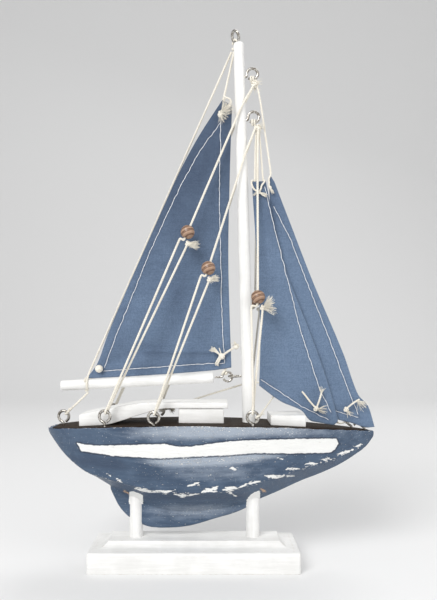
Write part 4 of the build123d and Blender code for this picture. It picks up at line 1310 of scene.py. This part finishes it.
string.fray((-12.0, 13.6, 65.0), (-9.2, 13.0, 63.6), spread=0.4, count=46, thick=0.1)
string.fray((-12.3, 13.6, 65.8), (-10.2, 13.0, 67.2), spread=0.5, count=20)
string.piece("jib_inner_sheet", SHIP)

# %% [markdown]
# Under each mast eye several strings meet in one fat knot. Two long loops go up through the
# ring, a tangle of the same twine is the knot, and a few cut ends stand out of it.

# %% The knots at the mast's eyes
for seed, name, wire, knot in (
    (13, "masthead_knot_upper", Vector((24.93, 0, 208.02)), Vector((26.0, 0, 206.3))),
    (14, "masthead_knot_lower", Vector((25.5, 0, 189.42)), Vector((27.3, 0, 187.2))),
):
    string = Twine(seed)
    for side in (-0.55, 0.55):
        low = knot + Vector((0, side, 0.4))
        route = []
        for turn in range(0, 360, 40):
            a = math.radians(turn)
            out = Vector((0.25 * math.sin(a), 1.18 * math.sin(a), 1.18 * math.cos(a)))
            route.append(wire + out + Vector((side * 0.9, 0, 0)))
        string.strand(route, string_radius * pulled, closed=True)
    string.knot(knot, 1.95, (0.2, -1, 0.3), lobes=(3, 4))
    string.knot(knot + Vector((0, 0, -0.5)), 1.7, (0.9, 0.2, 0.5), lobes=(2, 3))
    string.fray(knot, knot + Vector((3.2, -1.6, 0.6)), spread=0.4, count=16)
    string.fray(knot, knot + Vector((1.0, 2.2, -2.6)), spread=0.5, count=12)
    string.piece(name, SHIP)

# %% [markdown]
# The beads are turned from striped wood. Each is spun round its hole, with rounded mouths, and
# carries its own map: how far a point is across the stripes, which lean as they were seen.

# %% The beads' wood
bead_wood, tree, shader = new_material("bead_wood")
place = object_mm(tree)
wobble = noisy(tree, place, 0.5, 3.0, 0.5)
stripe_at = swayed(tree, wobble, 0.55, carried(tree, "stripe"))
wave = sums(tree, "SINE", sums(tree, "MULTIPLY", stripe_at, 3.5))
fine_wave = sums(tree, "SINE", sums(tree, "MULTIPLY", stripe_at, 9.1))
brown = mixed(tree, between(tree, wave, -0.2, 0.5), (0.15, 0.077, 0.047, 1), (0.37, 0.23, 0.155, 1))
brown = mixed(tree, between(tree, fine_wave, 0.55, 0.95, 0.0, 0.6), brown, (0.5, 0.36, 0.25, 1))
dress(
    tree, shader, brown, between(tree, wobble, 0.3, 0.7, 0.28, 0.42), bump(tree, wave, 0.00005, 0.4)
)

# %% The beads
bead_radius, bore_radius = 2.96, 0.82
bead_profile = [(bore_radius, 2.45), (0.98, 2.66)]
for step in range(11):
    angle = math.radians(64 - 128 * step / 10)
    bead_profile.append((bead_radius * math.cos(angle), bead_radius * math.sin(angle)))
bead_profile += [(0.98, -2.66), (bore_radius, -2.45), (bore_radius, 0.0), (bore_radius, 2.45)]
bead_axes = {
    "aft": (0.3877, 0.0593, 0.9199),
    "mid": (0.3045, 0.0843, 0.9488),
    "fore": (0.0031, 0.1043, 0.9945),
}
stripe_lean = math.radians(23)
lean = Vector((-math.sin(stripe_lean), 0.35, math.cos(stripe_lean))).normalized()
for name, up in bead_axes.items():
    for side in ("starboard", "port"):
        node, at = f"bead_{name}_{side}", across_ship(shroud_places[name][2], side)
        bead = stood(spun(bead_profile, 36), at, across_ship(up, side))
        piece = finish_piece(
            f"{node}_turned", bead, bead_wood, f"{node}_body", [node]
        )
        values = [(v.co / MM - at).dot(lean) for v in piece.data.vertices]
        piece.data.attributes.new("stripe", "FLOAT", "POINT").data.foreach_set("value", values)

# %% [markdown]
# Sail cloth is a plain weave: warp and weft pass over and under by turns. Sines across both
# threads give the rise and fall, a checker says which thread is on top, and every thread gets
# its own small change of tone, which is what makes cotton look woven and not printed.

# %% The weave group
def picked(tree, share, first, second):
    """A number between two."""
    return put(tree, "Mix", {0: share, 2: first, 3: second}).outputs[0]


plain_weave, given, gives = new_group(
    "plain_weave", [("Vector", "Vector", None), ("Pitch", "Float", 0.42)], ["Height", "Tone"]
)
threads = scaled_by(plain_weave, given["Vector"], sums(plain_weave, "DIVIDE", 1.0, given["Pitch"]))
warp_weft = put(plain_weave, "SeparateXYZ", {0: threads}).outputs
cells, rises, tones = [], [], []
for axis in (0, 1):
    cells.append(sums(plain_weave, "FLOOR", warp_weft[axis]))
    turn = sums(plain_weave, "MULTIPLY", warp_weft[axis], math.pi)
    rises.append(sums(plain_weave, "ABSOLUTE", sums(plain_weave, "SINE", turn)))
    own = put(plain_weave, "TexWhiteNoise", {"W": cells[axis]}, noise_dimensions="1D")
    tones.append(own.outputs["Value"])
checker = sums(plain_weave, "PINGPONG", sums(plain_weave, "ADD", *cells), 1.0)
over, under = picked(plain_weave, checker, *rises), picked(plain_weave, checker, *rises[::-1])
connect(plain_weave, gives["Height"], weighted(plain_weave, over, 0.75, under, 0.25))
slub = noisy(plain_weave, stretch_by(plain_weave, given["Vector"], (0.25, 2.6, 1.0)), 0.8, 3.0, 0.6)
crossing = put(plain_weave, "CombineXYZ", {0: cells[0], 1: cells[1]}).outputs[0]
speckle = put(plain_weave, "TexWhiteNoise", {"Vector": crossing}, noise_dimensions="2D")
mottle = weighted(plain_weave, speckle.outputs["Value"], 0.32, slub, 0.55)
tone = picked(plain_weave, checker, *tones)
connect(plain_weave, gives["Tone"], sums(plain_weave, "MULTIPLY_ADD", tone, 0.13, mottle))

# %% Sail cloth, with painted light and shade
sail_cloth, tree, shader = new_material("sail_cloth")
on_cloth = scaled_by(tree, put(tree, "UVMap", uv_map="cloth").outputs["UV"], 100.0)
weave = use_group(tree, plain_weave, Vector=on_cloth, Pitch=0.42)
over_ship = put(tree, "SeparateXYZ", {0: on_cloth}).outputs
# Painted light: the blue is paler towards the foot and towards the bow, where the light falls, with
# noise making the tone uneven.
painted_light_and_mottle = between(tree, over_ship[1], 195.0, 95.0, 0.05, 0.62)
painted_light_and_mottle = sums(tree, "MULTIPLY_ADD", between(tree, over_ship[0], -6.0, 24.0), 0.3, painted_light_and_mottle)
painted_light_and_mottle = swayed(tree, noisy(tree, on_cloth, 0.05, 4.0, 0.6), 1.1, painted_light_and_mottle)
# The same blue in a shaded and a lit copy; the painted light picks between them.
shaded_dye = mixed(tree, weave["Tone"], (0.032, 0.058, 0.108, 1), (0.105, 0.155, 0.25, 1))
lit_dye = mixed(tree, weave["Tone"], (0.07, 0.118, 0.2, 1), (0.18, 0.255, 0.375, 1))
dye_and_painted_light = mixed(tree, between(tree, painted_light_and_mottle, 0.0, 1.0), shaded_dye, lit_dye)
# Painted shade: darker high up on the mainsail, aft of the mast.
painted_shade_aloft = sums(
    tree, "MULTIPLY", between(tree, over_ship[1], 112.0, 172.0, 0.0, 0.42),
    between(tree, over_ship[0], 24.0, 14.0),
)
dye_and_painted_light = mixed(tree, painted_shade_aloft, dye_and_painted_light, (0.02, 0.036, 0.07, 1))
# Painted shade along the seams and in the creases.
seam_and_crease_shade = sums(tree, "MULTIPLY", carried(tree, "seam_and_crease_shade"), 0.45)
dye_and_painted_light = mixed(tree, seam_and_crease_shade, dye_and_painted_light, (0.025, 0.045, 0.09, 1))
dress(tree, shader, dye_and_painted_light, 0.88, bump(tree, weave["Height"], 0.00013, 0.8))
shader.inputs["Sheen Weight"].default_value = 0.3
shader.inputs["Sheen Roughness"].default_value = 0.5

stitch_thread, tree, shader = new_material("stitch_thread")
lint = noisy(tree, object_mm(tree), 5.0, 3.0, 0.6)
thread = mixed(tree, lint, (0.7, 0.72, 0.76, 1), (0.92, 0.93, 0.94, 1))
dress(tree, shader, thread, 0.8, bump(tree, lint, 0.00005, 0.4))
print("Made", sail_cloth.name, "and", stitch_thread.name)

# %% [markdown]
# A sail is a grid whose four sides are drawn to the cloth's outline, so its rows follow the
# edges as a hem does. Its height off the ship's middle plane is a shallow belly, with folds
# that run where the knots pull, a dip along each row of stitches and small puckers beside it.


# %% Laying out a sail
def along_edge(points, share):
    """A place along an edge of the cloth, by length, eased through its corners."""
    gaps = [math.dist(a, b) for a, b in zip(points, points[1:])]
    at, passed = share * sum(gaps), [0.0]
    for gap in gaps:
        passed.append(passed[-1] + gap)
    return (
        eased([(p, x) for p, (x, _) in zip(passed, points)], at),
        eased([(p, z) for p, (_, z) in zip(passed, points)], at),
    )


def patch_point(foot, head, aft, fore, u, v):
    """A place inside four edges: foot and head run forward, aft and fore edges run up."""
    f, h = along_edge(foot, u), along_edge(head, u)
    a, b = along_edge(aft, v), along_edge(fore, v)
    corners = (foot[0], foot[-1], head[0], head[-1])
    shares = ((1 - u) * (1 - v), u * (1 - v), (1 - u) * v, u * v)
    return tuple(
        (1 - v) * f[i] + v * h[i] + (1 - u) * a[i] + u * b[i]
        - sum(s * c[i] for s, c in zip(shares, corners))
        for i in (0, 1)
    )


def cloth_offset(points, sail):
    """How far the cloth stands off the ship's middle plane at many (x, z) places."""
    (x0, y0), (x1, y1) = sail["plane"]
    xs = points[:, 0]
    middle, half = sum(sail["span"]) / 2, (sail["span"][1] - sail["span"][0]) / 2
    y = y0 + (y1 - y0) * (xs - x0) / (x1 - x0)
    y = y + sail["belly"] * (1 - ((xs - middle) / half) ** 2)
    for a, b, width, rise in sail["folds"]:
        far, share = to_strokes(points, a, b)
        y = y + rise * np.exp(-((far / width) ** 2)) * np.sin(np.pi * (0.08 + 0.84 * share))
    for row in sail["seams"]:
        nearest, passed, length = np.full(len(points), 99.0), 0.0, 0.0
        for a, b in zip(row, row[1:]):
            far, share = to_strokes(points, a, b)
            passed = np.where(far < nearest, length + share * math.dist(a, b), passed)
            nearest = np.minimum(far, nearest)
            length += math.dist(a, b)
        pucker = np.cos(passed * math.tau / 5.4) + 0.6 * np.cos(passed * math.tau / 3.3 + 1)
        y = y + 0.16 * np.exp(-((nearest / 0.55) ** 2))
        y = y + 0.07 * pucker * np.exp(-((nearest / 2.2) ** 2))
    soft = [noise.noise(Vector((x * 0.07, z * 0.045, sail["seed"]))) for x, z in points]
    return y + 0.35 * np.array(soft)


def shade_near_seams(points, sail):
    """How close many places are to the seams and creases, from 0 to 1; it darkens the cloth there
    as painted shade.
    """
    near = np.full(len(points), 99.0)
    for row in sail["seams"] + sail["creases"]:
        for a, b in zip(row, row[1:]):
            near = np.minimum(near, to_strokes(points, a, b)[0])
    return np.exp(-((near / 0.5) ** 2))


cloth = 0.42  # the sails' thickness in millimetres
stitch_length, stitch_radius = 2.1, 0.14
# A stitch comes up out of the cloth, is thickest in its middle and goes down again.
stitch_lifts, stitch_shares = (0.04, 0.08, 0.09, 0.08, 0.04), (0.75, 1.0, 1.0, 1.0, 0.75)


def make_sail(name, sail, body, nodes):
    """The sail's cloth, with its map in decimetres and its thickness both ways."""
    shape = bmesh.new()
    bmesh.ops.create_grid(shape, x_segments=sail["cells"][0], y_segments=sail["cells"][1], size=0.5)
    edges = [sail[k] for k in ("foot", "head", "aft", "fore")]
    for vert in shape.verts:
        x, z = patch_point(*edges, vert.co.x + 0.5, vert.co.y + 0.5)
        vert.co = (x, 0, z)
    points = np.array([(v.co.x, v.co.z) for v in shape.verts])
    offsets = cloth_offset(points, sail)
    for vert, y in zip(shape.verts, offsets):
        vert.co.y = y
    uv = shape.loops.layers.uv.new("cloth")
    for face in shape.faces:
        for loop in face.loops:
            loop[uv].uv = (loop.vert.co.x / 100, loop.vert.co.z / 100)
    seam_shade_layer = shape.verts.layers.float.new("seam_and_crease_shade")
    for vert, value in zip(shape.verts, shade_near_seams(points, sail)):
        vert[seam_shade_layer] = value
    bmesh.ops.recalc_face_normals(shape, faces=shape.faces[:])
    mesh = with_modifiers(shape, name, ("SOLIDIFY", {"thickness": cloth, "offset": 0.0}))
    piece = finish_piece(name, mesh, sail_cloth, body, nodes)
    flat_area = sum(p.area for p in mesh.polygons) / 2
    print(name, "cloth area", round(flat_area * 1e6), "square millimetres")
    return piece


def make_stitches(name, sail, body):
    """A row of short thread bars, end to end, on both faces of the cloth."""
    bars = []
    for row in sail["seams"]:
        line, _ = evenly([Vector((x, 0, z)) for x, z in row], stitch_length / 4)
        for i in range(0, len(line) - 4, 4):
            places = np.array([(p.x, p.z) for p in line[i:i + 5]])
            places += [
                [0.3 * noise.noise(Vector((x * 0.4, z * 0.4, axis))) for axis in (0, 9)]
                for x, z in places
            ]
            offsets = cloth_offset(places, sail)
            for face in (-1, 1):
                bar = [
                    Vector((x, y + face * (cloth / 2 + lift), z))
                    for (x, z), y, lift in zip(places, offsets, stitch_lifts)
                ]
                bars.append((bar, stitch_shares))
    return finish_piece(name, thickened(bars, stitch_radius), stitch_thread, body)


# %% The three sails
mainsail = {
    "foot": [(-46.3, 79.22), (-18.0, 80.75), (8.0, 82.76), (15.9, 84.0)],
    "head": [(12.0, 198.9), (16.2, 196.6)],
    "aft": [
        (-46.3, 79.22), (-41.6, 86.0), (-37.3, 98.0), (-29.2, 117.3), (-19.7, 138.8),
        (-12.4, 155.1), (-6.5, 168.0), (1.9, 183.5), (12.0, 198.9),
    ],
    "fore": [(15.9, 84.0), (14.6, 130.0), (15.3, 170.0), (16.2, 196.6)],
    "plane": ((-46.3, -0.8), (15.9, -0.8)), "span": (-46.3, 16.2), "belly": 0.8, "seed": 3.0,
    "cells": (96, 180),
    "seams": [
        [
            (11.4, 189.5), (2.6, 177.6), (-4.9, 164.2), (-10.2, 153.4), (-19.6, 132.8),
            (-32.7, 100.1), (-39.3, 82.4),
        ],
        [(-39.3, 82.4), (-28.8, 83.2), (-13.1, 84.4), (0.2, 85.3), (12.9, 86.0)],
        [
            (12.9, 86.0), (12.2, 98.0), (11.6, 114.0), (11.4, 130.0), (10.9, 143.0), (10.7, 160.0),
            (11.4, 189.5),
        ],
    ],
    "folds": [
        ((-40.8, 84.0), (-10.0, 96.0), 2.2, 0.7), ((-40.8, 84.0), (-22.0, 110.0), 2.6, -0.5),
        ((-22.0, 89.9), (7.2, 89.8), 0.9, -0.6), ((10.1, 88.9), (-8.0, 104.0), 2.0, 0.6),
        ((10.1, 88.9), (6.0, 118.0), 2.0, -0.5), ((11.2, 193.0), (3.0, 160.0), 1.8, 0.45),
        ((-4.0, 118.0), (10.0, 150.0), 3.4, -0.7), ((-18.0, 112.0), (2.0, 132.0), 3.0, 0.5),
        ((-34.0, 92.0), (-16.0, 134.0), 2.4, 0.3), ((8.6, 100.0), (7.4, 148.0), 1.6, 0.3),
    ],
    "creases": [[(-22.0, 90.3), (-6.0, 90.1), (7.1, 90.0)]],
}
inner_jib = {
    "foot": [(27.8, 76.2), (37.2, 69.4), (45.8, 65.6), (49.5, 61.4), (53.5, 60.4), (59.8, 59.3)],
    "head": [(24.6, 163.6), (30.6, 163.9)],
    "aft": [(27.8, 76.2), (28.3, 100.0), (26.8, 130.0), (24.6, 163.6)],
    "fore": [(59.8, 59.3), (61.5, 61.6), (53.0, 90.0), (37.5, 131.0), (30.6, 163.9)],
    "plane": ((27.8, -1.6), (61.5, -1.6)), "span": (24.6, 61.5), "belly": 0.5, "seed": 7.0,
    "cells": (64, 150),
    "seams": [
        [(30.2, 161.5), (34.4, 143.2), (40.0, 121.6), (45.5, 100.1), (53.5, 75.2), (58.7, 64.4)],
        [(28.6, 78.8), (45.8, 67.4), (57.4, 61.6)],
    ],
    "folds": [
        ((46.0, 73.9), (34.0, 110.0), 2.0, 0.5), ((51.6, 66.4), (38.0, 84.0), 2.0, -0.45),
        ((28.5, 160.0), (33.0, 120.0), 1.8, -0.4), ((30.0, 82.0), (40.0, 100.0), 2.4, 0.4),
    ],
    "creases": [],
}
outer_jib = {
    "foot": [(34.2, 71.9), (62.0, 61.5), (67.7, 60.1), (73.3, 58.3), (77.2, 58.6)],
    "head": [(32.4, 167.6), (34.6, 164.0)],
    "aft": [(34.2, 71.9), (33.4, 100.0), (32.6, 135.0), (32.4, 167.6)],
    "fore": [(77.2, 58.6), (74.4, 67.6), (70.2, 72.6), (64.0, 90.0), (50.1, 123.5), (34.6, 164.0)],
    "plane": ((34.2, 0.9), (77.2, -1.5)), "span": (32.4, 77.2), "belly": 0.5, "seed": 11.0,
    "cells": (72, 160),
    "seams": [
        [(34.2, 153.6), (41.3, 139.7), (48.2, 121.6), (56.6, 100.1), (67.7, 70.2), (70.9, 62.4)],
        [(36.6, 73.6), (61.2, 65.1), (70.9, 62.4)],
    ],
    "folds": [
        ((64.6, 66.1), (54.0, 90.0), 2.2, 0.45), ((64.6, 66.1), (48.0, 76.0), 2.0, -0.4),
        ((34.5, 160.0), (42.0, 130.0), 1.6, 0.35),
    ],
    "creases": [],
}
main_cloth = make_sail("mainsail_cloth", mainsail, BOOM, ["mainsail"])
inner_cloth = make_sail("jib_inner_cloth", inner_jib, SHIP, ["jib_inner"])
outer_cloth = make_sail("jib_outer_cloth", outer_jib, SHIP, ["jib_outer"])
main_stitches = make_stitches("mainsail_stitches", mainsail, BOOM)
inner_stitches = make_stitches("jib_inner_stitches", inner_jib, SHIP)
outer_stitches = make_stitches("jib_outer_stitches", outer_jib, SHIP)


# %% [markdown]
# For each sail, the size of the rectangle it was cut from and the area that the cut left are
# printed.

# %% The cloth's sizes
def cut_area(sail):
    """Area inside a sail's outline, in square metres."""
    outline = sail["foot"] + sail["fore"][1:] + sail["head"][::-1][1:] + sail["aft"][::-1][1:-1]
    twice = sum(x0 * z1 - x1 * z0 for (x0, z0), (x1, z1) in zip(outline, outline[1:] + outline[:1]))
    return abs(twice) / 2 * MM * MM


for piece, sail, stitches, rests in (
    (main_cloth, mainsail, main_stitches, ["boom", "mast"]),
    (inner_cloth, inner_jib, inner_stitches, ["jib_inner_halyard", "bow_eye"]),
    (outer_cloth, outer_jib, outer_stitches, ["jib_outer_halyard", "bow_tip_eye"]),
):
    xs = [x for x, _ in sail["foot"] + sail["head"] + sail["fore"]]
    zs = [z for _, z in sail["foot"] + sail["head"]]
    flat = ((max(xs) - min(xs)) * MM, (max(zs) - min(zs)) * MM)
    print(piece.name, "flat", flat, "area", cut_area(sail))

# %% [markdown]
# The floor is a pale sweep that curves up behind the ship, as in a photographer's studio. One
# large soft lamp near the camera gives the form, a weaker one opens the shadows, and a third
# lights the edges from behind.

# %% The studio
sweep = bmesh.new()
half_floor, bend_at, bend_radius = 3.0, 0.75, 0.5  # metres
sweep_line = [(-half_floor, 0.0), (bend_at, 0.0)]
for step in range(1, 13):
    a = math.radians(90 * step / 12)
    sweep_line.append((bend_at + bend_radius * math.sin(a), bend_radius * (1 - math.cos(a))))
sweep_line.append((bend_at + bend_radius, half_floor))
verts = [sweep.verts.new((-half_floor, y, z)) for y, z in sweep_line]
edges = [sweep.edges.new(pair) for pair in zip(verts, verts[1:])]
pulled = bmesh.ops.extrude_edge_only(sweep, edges=edges)["geom"]
far_edge = [part for part in pulled if isinstance(part, bmesh.types.BMVert)]
bmesh.ops.translate(sweep, verts=far_edge, vec=(2 * half_floor, 0, 0))
bmesh.ops.recalc_face_normals(sweep, faces=sweep.faces[:])
sweep_mesh = bpy.data.meshes.new("studio_floor")
sweep.to_mesh(sweep_mesh)
sweep.free()
sweep_mesh.polygons.foreach_set("use_smooth", [True] * len(sweep_mesh.polygons))
floor_paper, tree, shader = new_material("floor_paper")
shader.inputs["Base Color"].default_value = (0.78, 0.78, 0.78, 1)
shader.inputs["Roughness"].default_value = 0.95
sweep_mesh.materials.append(floor_paper)
floor = bpy.data.objects.new("studio_floor", sweep_mesh)
bpy.context.scene.collection.objects.link(floor)


def lamp(name, at, aim, size, watts):
    """A square soft lamp that looks at a place. Sizes in metres."""
    data = bpy.data.lights.new(name, "AREA")
    data.size = size
    data.energy = watts
    light = bpy.data.objects.new(name, data)
    light.location = at
    light.rotation_euler = (Vector(aim) - Vector(at)).to_track_quat("-Z", "Y").to_euler()
    bpy.context.scene.collection.objects.link(light)


lamp("key_lamp", (-0.45, -0.85, 0.75), (0, 0, 0.1), 0.6, 10.5)
lamp("fill_lamp", (0.9, -0.6, 0.35), (0, 0, 0.1), 0.9, 3.5)
lamp("back_lamp", (0.3, 0.5, 1.0), (0, 0, 0.12), 0.6, 3.5)
world = bpy.data.worlds.new("studio_air")
bpy.context.scene.world = world
world.use_nodes = True
air = world.node_tree.nodes["Background"].inputs
air["Color"].default_value = (1, 1, 1, 1)
air["Strength"].default_value = 0.5
bpy.context.scene.view_settings.view_transform = "Standard"
